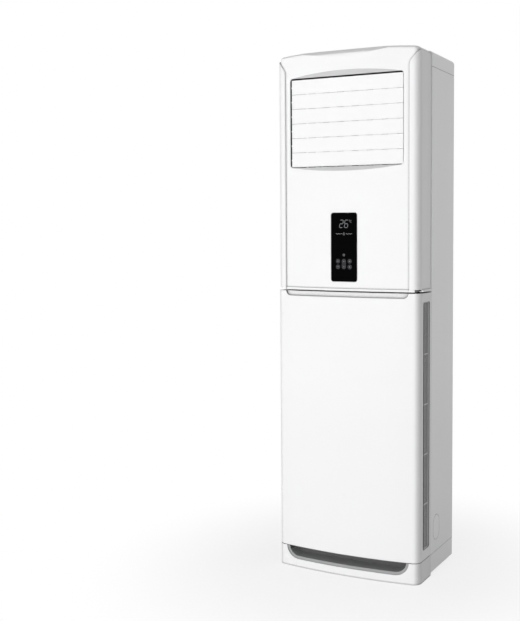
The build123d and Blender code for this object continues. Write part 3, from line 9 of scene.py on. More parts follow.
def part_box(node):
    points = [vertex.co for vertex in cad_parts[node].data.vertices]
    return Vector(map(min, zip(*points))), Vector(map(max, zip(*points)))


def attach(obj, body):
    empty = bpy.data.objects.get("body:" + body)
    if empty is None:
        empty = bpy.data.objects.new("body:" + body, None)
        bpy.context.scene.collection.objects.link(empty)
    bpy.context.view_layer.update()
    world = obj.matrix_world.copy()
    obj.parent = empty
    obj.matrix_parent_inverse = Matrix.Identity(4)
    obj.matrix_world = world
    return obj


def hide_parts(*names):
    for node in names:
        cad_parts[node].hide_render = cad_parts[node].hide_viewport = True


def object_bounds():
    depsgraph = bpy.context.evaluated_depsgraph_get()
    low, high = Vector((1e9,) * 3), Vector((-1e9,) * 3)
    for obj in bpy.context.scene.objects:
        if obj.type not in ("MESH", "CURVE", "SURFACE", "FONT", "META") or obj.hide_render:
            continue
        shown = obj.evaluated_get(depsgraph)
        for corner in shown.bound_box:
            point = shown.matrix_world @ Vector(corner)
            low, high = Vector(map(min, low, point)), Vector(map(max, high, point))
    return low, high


bl_info = {
    "name": "Floor Standing Air Conditioner Finish",
    "version": (1, 0, 0),
    "blender": (4, 5, 0),
    "location": "View3D > Sidebar > Air Conditioner",
    "description": "Finishes, marks, screws and studio for a floor standing air conditioner",
    "category": "Object",
}

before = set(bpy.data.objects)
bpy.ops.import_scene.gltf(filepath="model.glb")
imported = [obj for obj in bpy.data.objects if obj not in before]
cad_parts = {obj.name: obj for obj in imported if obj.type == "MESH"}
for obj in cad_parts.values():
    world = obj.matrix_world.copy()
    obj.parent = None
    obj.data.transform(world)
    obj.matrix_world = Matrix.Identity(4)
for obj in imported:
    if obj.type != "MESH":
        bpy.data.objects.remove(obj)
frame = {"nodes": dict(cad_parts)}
CAD_LOW, CAD_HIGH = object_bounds()
MM = 0.001
WHITE = (1.0, 1.0, 1.0, 1.0)
SENSOR = 36.0  # long side of the camera's frame, mm
FULL_TURN = 2 * math.pi


# ---------------------------------------------------------------- settings
def colour(label, text, value):
    """A colour property, linear values."""
    return FloatVectorProperty(name=label, description=text, default=value, size=3,
                               subtype="COLOR", min=0.0, max=1.0)


def length(label, text, millimetres):
    """A length property, given in millimetres and held in metres."""
    return FloatProperty(name=label, description=text, default=millimetres * MM,
                         unit="LENGTH", precision=5)


def share(label, text, value):
    """A plain number from 0 to 1."""
    return FloatProperty(name=label, description=text, default=value, min=0.0, max=1.0)


def number(label, text, value):
    """A plain number without a range."""
    return FloatProperty(name=label, description=text, default=value)


def whole_number(label, text, value, least):
    """A whole number."""
    return IntProperty(name=label, description=text, default=value, min=least)


def angle(label, text, degrees):
    """An angle property, given in degrees and held in radians."""
    return FloatProperty(name=label, description=text, default=math.radians(degrees),
                         subtype="ANGLE")


def spot(label, text, metres):
    """A place in the cabinet's frame, in metres."""
    return FloatVectorProperty(name=label, description=text, default=metres, size=3, unit="LENGTH")


class PaintSettings(bpy.types.PropertyGroup):
    """Colours and shades of what shows from outside."""

    panel: colour("Moulded panels", "White of the front panels and the plinth", (0.89, 0.89, 0.895))
    sheet: colour("Sheet metal", "White of the side sheets, back and top", (0.80, 0.80, 0.805))
    blade: colour("Louvre blades", "White of the louvre blades", (0.90, 0.90, 0.90))
    # Painted shade: the outlet frame and guide vanes are coloured near black for the shade in the
    # outlet's gaps.
    frame: colour("Outlet frame", "Dark grey inside the outlet", (0.018, 0.018, 0.019))
    lip: colour("Recess lip", "Grey lip round the toe recess", (0.36, 0.365, 0.37))
    recess: colour("Recess", "Dark grey of the toe recess", (0.10, 0.101, 0.102))
    grille: colour("Intake frame", "Grey of the intake frames", (0.62, 0.62, 0.63))
    filter: colour("Filter", "Grey of the filter mesh", (0.42, 0.42, 0.425))
    window: colour("Window", "Black of the control window", (0.0008, 0.0008, 0.0009))
    digits: colour("Read-out", "Lit digits of the read-out", (0.17, 0.18, 0.184))
    icons: colour("Icons", "Printed icons of the keys and symbols", (0.24, 0.245, 0.25))
    rings: colour("Rings", "Printed rings of the keys", (0.026, 0.027, 0.028))
    # Painted shade: how deep behind its front edge the intake frame is coloured near black, for the
    # slot's shade.
    gap_depth: length("Intake gap", "Depth of the shaded gap at the intakes' front edge", 19.0)
    # Painted shade: the three reaches below set how far seams and inner corners are painted darker.
    seam_reach: length("Seam shade", "Reach of the shade in seams and inner corners", 7.0)
    field_reach: length("Finger recess shade", "Reach of the shade in the finger recess", 14.0)
    sheet_reach: length("Sheet shade", "Reach of the shade where sheets meet", 4.5)
    # Painted shade: the dark line where the sheets meet.
    line_half: length("Sheet seam", "Half width of the dark line where sheets meet", 0.8)
    # Painted shade: faces of the upper panel that lean up or down, such as the scoops by the
    # outlet, are darker.
    scoop_painted_shade: share("Scoop shade", "White left on faces that lean up or down", 0.69)
    # Painted shade: the shares below colour the side faces of the moulded parts darker.
    side_painted_shade: share("Side shade", "White left on the upper panel's side faces", 0.76)
    return_painted_shade: share("Return shade", "Share of the side shade on the lower panel", 0.95)
    plinth_painted_shade: share("Plinth shade", "Share of the side shade on the plinth cover", 0.87)
    cap_painted_shade: share("Cap shade", "White left on the pipe hole's cap", 0.90)
    # Painted light: the toe recess is coloured this many times lighter on faces that lean up or
    # down.
    recess_floor_painted_light: number("Recess lift", "How many times lighter the toe recess is on its floor", 3.4)


class WorksSettings(bpy.types.PropertyGroup):
    """Colours of the works inside, the screws and the feet."""

    link_bar: colour("Link bars", "Cream nylon of the two link bars", (0.66, 0.65, 0.60))
    small_motor: colour("Stepping motors", "Bright cans of the stepping motors", (0.60, 0.61, 0.62))
    board: colour("Boards", "Green of the solder mask", (0.012, 0.09, 0.03))
    rubber: colour("Feet", "Black rubber of the feet", (0.02, 0.02, 0.02))
    screw: colour("Screws", "Zinc of the screws", (0.62, 0.63, 0.62))
    zinc: colour("Zinc sheet", "Galvanised steel of the inner sheets", (0.56, 0.58, 0.60))
    wheel: colour("Fan wheel", "Black plastic of the fan wheel", (0.03, 0.03, 0.033))
    shaft: colour("Shaft", "Bright steel of the fan's shaft", (0.56, 0.57, 0.58))
    motor: colour("Fan motor", "Black paint of the fan motor", (0.06, 0.06, 0.065))
    fins: colour("Fins", "Aluminium of the coil's fins", (0.78, 0.80, 0.82))
    copper: colour("Copper", "Copper of the tubes and pipes", (0.78, 0.42, 0.26))
    pan: colour("Drain pan", "Grey plastic of the drain pan", (0.62, 0.62, 0.60))
    hose: colour("Drain hose", "Dark grey of the drain hose", (0.16, 0.165, 0.17))
    foam: colour("Foam", "White bead foam of the duct elbow", (0.80, 0.80, 0.78))
    terminal: colour("Terminals", "Cream plastic of the terminal block", (0.62, 0.58, 0.45))


class MarkSettings(bpy.types.PropertyGroup):
    """Sizes of what is printed on the control window and on its keys."""

    ink: length("Ink", "Thickness of the printed marks", 0.05)
    digit_height: length("Digit height", "Height of the read-out's digits", 23.5)
    digit_width: length("Digit width", "Width of one digit", 11.4)
    digit_step: length("Digit step", "Distance from one digit to the next", 17.0)
    digit_stroke: length("Digit stroke", "Width of a digit's strokes", 2.1)
    digit_slant: angle("Digit slant", "Lean of the digits", 6.0)
    unit_rise: share("Unit rise", "Rise of the unit, as a share of the digits' height", 0.30)
    flange: length("Window flange", "Width of the window's flange, hidden by the panel", 4.0)
    digit_drop: length("Digit drop", "Window's top edge to the middle of the digits", 34.6)
    row_drop: length("Symbol row drop", "Window's top edge to the row of symbols", 66.0)
    mark_drop: length("Sensor mark drop", "Window's top edge to the sensor mark", 132.0)
    dash_count: whole_number("Dashes", "Dashes on each side of the row of symbols", 5, 1)
    dash_start: length("First dash", "Middle of the row to the first dash", 7.5)
    dash_step: length("Dash step", "Distance from one dash to the next", 4.4)
    dash_length: length("Dash length", "Length of a dash", 3.2)
    dash_rise: length("Dash rise", "How far the dashes stand above or below the row's line", 0.9)
    key_ring: length("Key ring", "Radius of the ring printed on a key", 6.1)
    key_stroke: length("Key stroke", "Width of the lines printed on a key", 0.6)
    key_icon: share("Key icon", "Half size of a key's icon, as a share of its ring's radius", 0.24)
    arc_drop: length("Arc drop", "How far the arcs on the temperature keys are moved apart", 0.6)
    lit_glow: number("Lit glow", "Glow of the lit digits", 0.10)
    print_glow: number("Print glow", "Glow of the printed marks", 0.05)


class ScrewSettings(bpy.types.PropertyGroup):
    """Form of the cross-recessed screws in the back."""

    rings: whole_number("Rings", "Rings of faces from the middle out", 14, 6)
    sides: whole_number("Sides", "Faces round a screw head", 48, 16)
    recess_depth: length("Recess depth", "Depth of the cross recess", 1.3)
    recess_reach: length("Recess reach", "Half length of the cross recess", 2.3)
    recess_half: length("Recess half width", "Half width of an arm of the cross", 0.55)
    dome_fall: share("Dome fall", "Share of the head's height that the dome falls by", 0.75)
    wall_slope: share("Wall slope", "Share of the arm's half width that its wall slopes over", 0.6)
    end_slope: share("End slope", "Share of the arm's half length that its end slopes over", 0.4)


class StageSettings(bpy.types.PropertyGroup):
    """Camera and studio light."""

    camera: spot("Camera", "Place of the camera", (1.310957, -2.741643, 1.08707))
    yaw: angle("Yaw", "Turn of the camera to the left", 24.627)
    pitch: angle("Pitch", "Dip of the camera", 3.377)
    lens: number("Focal length", "Focal length on a 36 mm long side", 53.65)
    shift_x: number("Shift X", "Sideways shift of the frame", -0.1935)
    shift_y: number("Shift Y", "Upward shift of the frame", -0.0342)
    horizon: share("Horizon", "Strength of the surroundings at eye level", 0.53)
    zenith: share("Zenith", "Strength of the surroundings straight up and down", 0.35)
    key_power: number("Key light", "Power of the key light in watts", 208.0)
    key_size: length("Key light size", "Side of the square key light", 2400.0)
    key_place: spot("Key light place", "Place of the key light", (-0.6, -5.9, 1.0))
    side_power: number("Side light", "Power of the side light in watts", 30.0)
    side_size: length("Side light size", "Side of the square side light", 2000.0)
    side_place: spot("Side light place", "Place of the side light", (2.6, 4.4, 1.2))
    floor: colour("Floor", "Pale grey of the floor", (0.88, 0.88, 0.88))
    floor_half: length("Floor half size", "Half the floor's side", 14000.0)
    floor_drop: length("Floor drop", "How far the floor lies under the cabinet's rest face", 0.2)
    clear: length("Floor fade", "Distance at which the floor has turned white", 950.0)
    clear_start: share("Fade start", "Share of the fade's distance at which it starts", 0.3)
    floor_glow: share("Floor glow", "White that the floor near the object keeps in the shade", 0.78)


SETTINGS = {
    "aircon_paint": PaintSettings,
    "aircon_works": WorksSettings,
    "aircon_marks": MarkSettings,
    "aircon_screws": ScrewSettings,
    "aircon_stage": StageSettings,
}


# ---------------------------------------------------------------- shader expressions
class Signal:
    """An output socket. Arithmetic on it adds Math nodes to its own tree."""

    def __init__(self, tree, socket):
        self.tree = tree
        self.socket = socket

    def math(self, operation, first, second=0.0):
        """One Math node. Either value may be a signal or a number."""
        return self.tree.node("ShaderNodeMath", {"operation": operation}, {0: first, 1: second})

    def __add__(self, other):
        return self.math("ADD", self, other)

    def __radd__(self, other):
        return self.math("ADD", other, self)

    def __sub__(self, other):
        return self.math("SUBTRACT", self, other)

    def __rsub__(self, other):
        return self.math("SUBTRACT", other, self)

    def __mul__(self, other):
        return self.math("MULTIPLY", self, other)

    def __rmul__(self, other):
        return self.math("MULTIPLY", other, self)

    def __pow__(self, other):
        return self.math("POWER", self, other)

    def __rpow__(self, other):
        return self.math("POWER", other, self)

    def __gt__(self, other):
        return self.math("GREATER_THAN", self, other)

    def __lt__(self, other):
        return self.math("LESS_THAN", self, other)

    def sine(self):
        """Its sine, from -1 to 1."""
        return self.math("SINE", self)

    def absolute(self):
        """Its size without the sign."""
        return self.math("ABSOLUTE", self)

    def max(self, other):
        """The greater of the two."""
        return self.math("MAXIMUM", self, other)


class Tree:
    """A node tree that is written as expressions."""

    def __init__(self, holder):
        holder.use_nodes = True
        self.nodes = holder.node_tree.nodes
        self.links = holder.node_tree.links
        self.nodes.clear()

    def node(self, kind, settings=None, inputs=None, output=0):
        """Adds a node: settings first, then its sockets' values or links. Returns one output."""
        made = self.nodes.new(kind)
        for key, value in (settings or {}).items():
            if key == "stops":
                ramp = made.color_ramp.elements
                while len(ramp) < len(value):
                    ramp.new(0.5)
                for element, (place, grey) in zip(ramp, value):
                    element.position = place
                    element.color = (grey, grey, grey, 1.0)
            else:
                setattr(made, key, value)
        for key, value in (inputs or {}).items():
            if isinstance(value, Signal):
                self.links.new(value.socket, made.inputs[key])
            else:
                made.inputs[key].default_value = value
        return Signal(self, made.outputs[output]) if made.outputs else None

    def place(self):
        """The point on the surface, in metres in the cabinet's frame."""
        return self.node("ShaderNodeTexCoord", output="Object")

    def axis(self, name):
        """One coordinate of the point on the surface."""
        return self.node("ShaderNodeSeparateXYZ", inputs={0: self.place()}, output=name)

    def stretched(self, x, y, z):
        """The point on the surface, scaled along each axis."""
        return self.node("ShaderNodeVectorMath", {"operation": "MULTIPLY"},
                         {0: self.place(), 1: (x, y, z)})

    def noise(self, scale, detail=2.0, at=None):
        """Soft noise, as many cells to a metre as the scale says."""
        return self.node("ShaderNodeTexNoise",
                         inputs={"Vector": at or self.place(), "Scale": scale, "Detail": detail})

    def cells(self, scale, output="Distance"):
        """Distance to the nearest of scattered points, or the colour of its cell."""
        return self.node("ShaderNodeTexVoronoi", inputs={"Vector": self.place(), "Scale": scale},
                         output=output)

    def ramp(self, value, *stops):
        """A value spread over grey stops."""
        return self.node("ShaderNodeValToRGB", {"stops": stops}, {0: value})

    def blend(self, mask, first, second):
        """One colour where the mask is 0 and the other where it is 1."""
        return self.node("ShaderNodeMix", {"data_type": "RGBA"}, {0: mask, 6: first, 7: second},
                         output=2)

    def crease(self, reach):
        """1 on open faces, falling towards 0 in seams and inner corners within reach."""
        return self.node("ShaderNodeAmbientOcclusion", {"samples": 8}, {"Distance": reach},
                         output="AO")

    def facing(self, name):
        """1 on faces square to an axis, falling to 0 on faces that run along it."""
        normal = self.node("ShaderNodeTexCoord", output="Normal")
        return self.node("ShaderNodeSeparateXYZ", inputs={0: normal}, output=name).absolute()

    def bump(self, height, depth, soft_edge=0.0):
        """A normal from a height of 0 to 1, that many metres deep, over rounded edges if asked."""
        sockets = {"Height": height, "Distance": depth, "Strength": 1.0}
        if soft_edge:
            sockets["Normal"] = self.node("ShaderNodeBevel", {"samples": 4}, {"Radius": soft_edge})
        return self.node("ShaderNodeBump", inputs=sockets)


def solid(rgb, gain=1.0):
    """A colour socket's value, lighter or darker by a gain."""
    return (*(min(1.0, channel * gain) for channel in rgb), 1.0)


def finish(name, build, **fixed):
    """A material with one Principled shader: build gives what varies, fixed what doesn't."""
    material = bpy.data.materials.get(name)
    if material:
        return material
    material = bpy.data.materials.new(name)
    tree = Tree(material)
    sockets = {**{key.replace("_", " "): value for key, value in fixed.items()}, **build(tree)}
    shader = tree.node("ShaderNodeBsdfPrincipled", inputs=sockets)
    tree.node("ShaderNodeOutputMaterial", inputs={"Surface": shader})
    return material


# ---------------------------------------------------------------- finishes
DUST = (0.52, 0.50, 0.47)
FLUFF = (0.30, 0.29, 0.27)
SOLDER = (0.66, 0.66, 0.62)
SPARK_GRAIN = 1400.0  # cells to a metre
# Ramp of painted light and shade by how far a face leans up or down.
PAINTED_LEAN_RAMP = (0.40, 0.0), (0.56, 1.0)
# Ramp of painted shade by how far a face turns sideways.
PAINTED_SIDE_RAMP = (0.35, 0.0), (0.82, 1.0)
FRONT_EDGE = 0.9 * MM  # radius that the front panels' edges are rounded by


def moulded(name, rgb, roughness, grain=0.03 * MM, soft_edge=0.0, seam=0.0, pinch=1.6, rear=None,
            painted_lean_shading=None, sides=None, shaded=None):
    """Injection-moulded plastic: fine spark grain, slow drift of tone, dust low down, painted shade
    in seams.

    seam is the reach of the painted shade in seams and inner corners, and pinch draws it closer to
    them.
    Seams behind the rear line stay unshaded. The lean and side shares are the share of the colour
    on faces
    that lean up or down and on side faces: painted shade below 1, painted light above 1. What lies
    before the shaded line is painted near black, as shade."""
    def build(tree):
        drift = tree.noise(3.0, 3.0)
        dust = tree.ramp(tree.axis("Z") + tree.noise(9.0, 4.0) * 0.12, (0.03, 1.0), (0.22, 0.0))
        base = tree.blend(drift, solid(rgb, 0.985), solid(rgb, 1.015))
        base = tree.blend(dust * 0.05, base, solid(DUST))
        # Painted shade on faces that lean up or down; a share above 1 paints light there instead.
        if painted_lean_shading is not None:
            level = tree.ramp(tree.facing("Z"), *PAINTED_LEAN_RAMP)
            base = tree.blend(level, base, solid(rgb, painted_lean_shading))
        # Painted shade: faces that turn sideways are coloured darker, for the dark band at the
        # corners.
        if sides is not None:
            painted_side_shading = tree.ramp(tree.facing("X"), *PAINTED_SIDE_RAMP)
            base = tree.blend(painted_side_shading, base, solid(rgb, sides))
        # Painted shade: seams and inner corners within reach darken towards 0.16 of the colour.
        if seam:
            unshaded = tree.crease(seam) ** pinch
            if rear is not None:
                unshaded = unshaded.max(tree.axis("Y") > rear)
            base = tree.blend(unshaded, solid(rgb, 0.16), base)
        # Painted shade: what lies before the line is coloured near black.
        if shaded is not None:
            base = tree.blend(tree.axis("Y") < shaded, base, solid(rgb, 0.10))
        cloudy = (tree.noise(28.0, 4.0) - 0.5) * 0.10
        surface = tree.noise(SPARK_GRAIN, 2.0) + tree.noise(5.0, 1.0) * 6.0
        return {
            "Base Color": base,
            "Roughness": roughness + cloudy + dust * 0.06,
            "Normal": tree.bump(surface, grain, soft_edge),
        }
    return finish(name, build)


def powder_coat(name, rgb, seam, front, heights, half):
    """Powder-coated sheet steel: orange peel, slight waves, handling marks, painted shade low down.

    The sheets meet in dark lines of painted shade at the two heights, which are as wide as twice
    half.
    Seams before the front line stay unshaded; other seams within reach get painted shade."""
    def build(tree):
        # Painted shade: dark lines where the sheets meet at two heights, and darkening in seams
        # within reach.
        low, high = ((tree.axis("Z") - height).absolute() < half for height in heights)
        unshaded = (tree.crease(seam) ** 3.0).max(tree.axis("Y") < front)
        peel = tree.cells(620.0) + tree.noise(260.0, 3.0)
        wave = tree.noise(2.4, 1.0) * 14.0
        handled = tree.ramp(tree.noise(6.0, 6.0), (0.52, 0.0), (0.75, 1.0))
        # Painted shade: the sheet is coloured darker towards the floor.
        low_painted_shade = tree.ramp(tree.axis("Z") + tree.noise(3.0, 3.0) * 0.1, (0.0, 1.0), (0.75, 0.0))
        sheet = tree.blend(tree.noise(4.0, 2.0), solid(rgb, 0.985), solid(rgb, 1.01))
        sheet = tree.blend(low_painted_shade * 0.55, sheet, solid(rgb, 0.74))
        return {
            "Base Color": tree.blend(unshaded - low.max(high) * 0.8, solid(rgb, 0.30), sheet),
            "Roughness": 0.36 + handled * 0.10 + tree.noise(90.0, 2.0) * 0.05,
            "Normal": tree.bump(peel + wave, 0.04 * MM, 0.5 * MM),
        }
    return finish(name, build)


def gloss_window(name, rgb, roughness):
    """Polished black window: almost flat, with the faintest swirl of wiping."""
    def build(tree):
        wiped = tree.noise(1.0, 5.0, tree.stretched(40.0, 40.0, 160.0))
        return {
            "Base Color": tree.blend(wiped, solid(rgb, 0.8), solid(rgb, 1.6)),
            "Roughness": roughness + wiped * 0.05,
            "Normal": tree.bump(tree.noise(30.0, 1.0), 0.02 * MM, 0.3 * MM),
        }
    return finish(name, build, Specular_IOR_Level=0.02)


def printed(name, rgb, glow):
    """Printed or lit marks: even, with the fine dither of a lamp mask."""
    def build(tree):
        dots = tree.cells(5200.0)
        shade = tree.blend(dots, solid(rgb, 1.05), solid(rgb, 0.88))
        # Glow: on the lit digits it is the display's own light; on printed icons, rings and marks
        # it is painted light.
        return {"Base Color": shade, "Emission Color": shade, "Roughness": 0.45 + dots * 0.1}
    return finish(name, build, Emission_Strength=glow)


def filter_mesh(name, rgb):
    """Woven filter: square mesh with dust caught in it."""
    turns = FULL_TURN / (1.6 * MM)

    def build(tree):
        threads = (tree.axis("Y") * turns).sine().max((tree.axis("Z") * turns).sine())
        thread = tree.ramp(threads, (0.45, 0.0), (0.75, 1.0))
        fluff = tree.noise(60.0, 5.0)
        woven = tree.blend(thread, solid(rgb, 0.35), solid(rgb, 1.15))
        return {
            "Base Color": tree.blend(fluff * 0.30, woven, solid(FLUFF)),
            "Roughness": 0.75 + fluff * 0.15,
            "Normal": tree.bump(thread, 0.3 * MM),
        }
    return finish(name, build)


def galvanised(name, rgb):
    """Zinc-coated steel with its spangle."""
    def build(tree):
        spangle = tree.node("ShaderNodeRGBToBW", inputs={0: tree.cells(70.0, output="Color")})
        return {
            "Base Color": tree.blend(spangle, solid(rgb, 0.82), solid(rgb, 1.12)),
            "Roughness": 0.30 + spangle * 0.18,
            "Normal": tree.bump(spangle, 0.02 * MM, 0.4 * MM),
        }
    return finish(name, build, Metallic=0.85)


def brushed(name, rgb, along):
    """Bright metal with fine lines along one axis."""
    stretch = [30 if axis == along else 2600 for axis in "XYZ"]

    def build(tree):
        lines = tree.noise(1.0, 3.0, tree.stretched(*stretch))
        stain = tree.noise(35.0, 4.0)
        return {
            "Base Color": tree.blend(stain, solid(rgb, 0.86), solid(rgb, 1.08)),
            "Roughness": 0.28 + lines * 0.14 + stain * 0.05,
            "Normal": tree.bump(lines, 0.02 * MM, 0.3 * MM),
        }
    return finish(name, build, Metallic=1.0)


def coil_fins(name, rgb):
    """Pack of upright aluminium fins 1.8 mm apart."""
    turns = FULL_TURN / (1.8 * MM)

    def build(tree):
        # Painted shade: the dark stripes between the fins stand for the shaded gaps of the pack.
        fin = tree.ramp((tree.axis("X") * turns).sine(), (0.30, 0.0), (0.65, 1.0))
        bent = tree.ramp(tree.noise(24.0, 3.0), (0.62, 0.0), (0.78, 1.0))
        return {
            "Base Color": tree.blend(fin, solid(rgb, 0.22), solid(rgb)),
            "Roughness": 0.34 + bent * 0.2,
            "Normal": tree.bump(fin + bent, 0.5 * MM),
        }
    return finish(name, build, Metallic=0.9)


def circuit(name, rgb):
    """Solder-masked board with faint tracks and pads."""
    def build(tree):
        track = tree.ramp(tree.cells(180.0), (0.18, 1.0), (0.26, 0.0))
        pad = tree.ramp(tree.cells(90.0), (0.08, 1.0), (0.11, 0.0))
        masked = tree.blend(track * 0.4, solid(rgb), solid(rgb, 1.9))
        return {
            "Base Color": tree.blend(pad, masked, solid(SOLDER)),
            "Roughness": 0.42 - pad * 0.15,
            "Normal": tree.bump(track, 0.05 * MM),
        }
    return finish(name, build)


def foam_bead(name, rgb):
    """Expanded bead foam."""
    def build(tree):
        bead = tree.cells(260.0)
        return {
            "Base Color": tree.blend(bead, solid(rgb, 1.02), solid(rgb, 0.86)),
            "Roughness": 0.85 + bead * 0.1,
            "Normal": tree.bump(1.0 - bead, 0.6 * MM),
        }
    return finish(name, build)


def dress(material, *nodes):
    """Puts a material in every slot of these nodes."""
    for node in nodes:
        for slot in frame["nodes"][node].material_slots:
            slot.material = material


def numbered(stem):
    """The nodes whose names are this stem and a number."""
    return sorted(name for name in frame["nodes"]
                  if name.startswith(stem + "_") and name[-1].isdigit())


# ---------------------------------------------------------------- printed marks
class FlatMark:
    """A thin mark in the front view, gathered from polygons in millimetres about its own middle."""

    def __init__(self, centre, slant=0.0):
        self.centre = Vector(centre)
        self.slant = math.tan(slant)
        self.outlines = []

    def polygon(self, *points):
        """One convex outline, leaned by the slant."""
        self.outlines.append([(x + z * self.slant, z) for x, z in points])

    def bar(self, start, end, width, cap=0.5):
        """A stroke with pointed ends; cap is the point's length as a share of the width."""
        run = Vector(end) - Vector(start)
        along = run.normalized() * (width * cap)
        across = Vector((-run.y, run.x)).normalized() * (width / 2)
        first, last = Vector(start), Vector(end)
        self.polygon(first, first + along - across, last - along - across,
                     last, last - along + across, first + along + across)

    def ring(self, middle, radius, width, start=0.0, turn=360.0, steps=32):
        """An arc of a ring as a run of small quads; start and turn are in degrees."""
        count = max(3, round(steps * turn / 360))
        inner, outer = radius - width / 2, radius + width / 2

        def point(r, i):
            a = math.radians(start + turn * i / count)
            return middle[0] + r * math.cos(a), middle[1] + r * math.sin(a)

        for i in range(count):
            self.polygon(point(inner, i), point(outer, i), point(outer, i + 1), point(inner, i + 1))

    def disc(self, middle, radius, sides=20):
        """A round dot."""
        angles = [FULL_TURN * i / sides for i in range(sides)]
        self.polygon(*[(middle[0] + radius * math.cos(a), middle[1] + radius * math.sin(a))
                       for a in angles])

    def make(self, name, ink, material, body):
        """Makes the mark a mesh as thick as the ink, which rides on a body."""
        mesh = bpy.data.meshes.new(name)
        shape = bmesh.new()
        for outline in self.outlines:
            back = [shape.verts.new(self.centre + Vector((x * MM, 0, z * MM))) for x, z in outline]
            front = [shape.verts.new(v.co - Vector((0, ink, 0))) for v in back]
            shape.faces.new(front)
            count = len(outline)
            for i in range(count):
                j = (i + 1) % count
                shape.faces.new((back[i], back[j], front[j], front[i]))
        bmesh.ops.remove_doubles(shape, verts=shape.verts, dist=1e-7)
        bmesh.ops.recalc_face_normals(shape, faces=shape.faces)
        shape.to_mesh(mesh)
        shape.free()
        mesh.materials.append(material)
        piece = bpy.data.objects.new(name, mesh)
        bpy.context.scene.collection.objects.link(piece)
        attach(piece, body)


# Ends of a digit's segments, in halves of its width and height, and the segments each digit lights.
SEGMENTS = {
    "a": ((-1, 1), (1, 1)),
    "b": ((1, 1), (1, 0)),
    "c": ((1, 0), (1, -1)),
    "d": ((1, -1), (-1, -1)),
    "e": ((-1, -1), (-1, 0)),
    "f": ((-1, 0), (-1, 1)),
    "g": ((-1, 0), (1, 0)),
}
DIGITS = {"2": "abged", "6": "acdefg"}
SEGMENT_GAP = 0.30  # gap at a segment's end, as a share of its stroke


def add_digit(mark, digit, middle, width, height, stroke):
    """A seven-segment digit, all in millimetres."""
    half_w, half_h = width / 2, height / 2
    for name in DIGITS[digit]:
        (x0, z0), (x1, z1) = SEGMENTS[name]
        start = Vector((middle + x0 * half_w, z0 * half_h))
        end = Vector((middle + x1 * half_w, z1 * half_h))
        gap = (end - start).normalized() * (stroke * SEGMENT_GAP)
        mark.bar(start + gap, end - gap, stroke)


def power_icon(mark, size, stroke):
    """An open ring with a short upright bar."""
    mark.ring((0, 0), size, stroke, 120, 300)
    mark.bar((0, size * 0.2), (0, size * 1.25), stroke)


def mode_icon(mark, size, stroke):
    """A dot with eight rays."""
    mark.disc((0, 0), size * 0.42)
    for i in range(8):
        a = math.radians(45 * i)
        mark.bar((math.cos(a) * size * 0.7, math.sin(a) * size * 0.7),
                 (math.cos(a) * size * 1.2, math.sin(a) * size * 1.2), stroke)


def up_icon(mark, size, stroke):
    """A triangle that points up."""
    mark.polygon((-size, -size * 0.5), (size, -size * 0.5), (0, size * 0.9))


def down_icon(mark, size, stroke):
    """A triangle that points down."""
    mark.polygon((size, size * 0.5), (-size, size * 0.5), (0, -size * 0.9))


def fan_icon(mark, size, stroke):
    """A hub with three curved blades."""
    mark.disc((0, 0), size * 0.25)
    for i in range(3):
        turn = 90 + 120 * i
        a = math.radians(turn)
        middle = (math.cos(a) * size * 0.62, math.sin(a) * size * 0.62)
        mark.ring(middle, size * 0.45, stroke * 1.3, turn - 120, 220)


def swing_icon(mark, size, stroke):
    """Three slanted louvres."""
    for i in range(3):
        z = (i - 1) * size * 0.62
        mark.bar((-size * 0.9, z), (size * 0.9, z + size * 0.25), stroke * 1.2)


KEY_ICONS = {
    "power_key": power_icon,
    "mode_key": mode_icon,
    "temp_up_key": up_icon,
    "temp_down_key": down_icon,
    "fan_speed_key": fan_icon,
    "swing_key": swing_icon,
}


# ---------------------------------------------------------------- operators
class AIRCON_OT_front_panels(bpy.types.Operator):
    """Finishes the moulded front panels, the plinth cover and the pipe hole's cap"""

    bl_idname = "aircon.front_panels"
    bl_label = "Front panels"

    def execute(self, context):
        paint = context.scene.aircon_paint
        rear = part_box("upper_front_panel")[1].y - paint.seam_reach

        def front_white(name, seam, pinch, sides, painted_lean_shading=None):
            return moulded(name, paint.panel, 0.30, soft_edge=FRONT_EDGE, seam=seam, pinch=pinch,
                           rear=rear, painted_lean_shading=painted_lean_shading, sides=sides)

        upper = front_white("upper_white", paint.seam_reach, 2.2, paint.side_painted_shade,
                            paint.scoop_painted_shade)
        lower = front_white("lower_white", paint.field_reach, 4.0,
                            paint.side_painted_shade * paint.return_painted_shade)
        plinth = front_white("plinth_white", paint.seam_reach, 1.6,
                             paint.side_painted_shade * paint.plinth_painted_shade)
        cap = moulded("cap_white", paint.sheet, 0.36, soft_edge=FRONT_EDGE, seam=paint.field_reach,
                      pinch=5.0, sides=paint.cap_painted_shade)
        dress(upper, "upper_front_panel")
        dress(lower, "lower_front_panel")
        dress(plinth, "plinth_cover")
        dress(cap, "pipe_hole_cap")
        return {"FINISHED"}


class AIRCON_OT_sheet_metal(bpy.types.Operator):
    """Finishes the side sheets, the back, the top cover and the base pan"""

    bl_idname = "aircon.sheet_metal"
    bl_label = "Sheet metal"

    def execute(self, context):
        paint = context.scene.aircon_paint
        low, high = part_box("left_side_panel")
        coat = powder_coat("powder_white", paint.sheet, paint.sheet_reach,
                           low.y + paint.seam_reach, (low.z, high.z), paint.line_half)
        dress(coat, "left_side_panel", "right_side_panel", "back_panel", "top_cover", "base_pan")
        return {"FINISHED"}


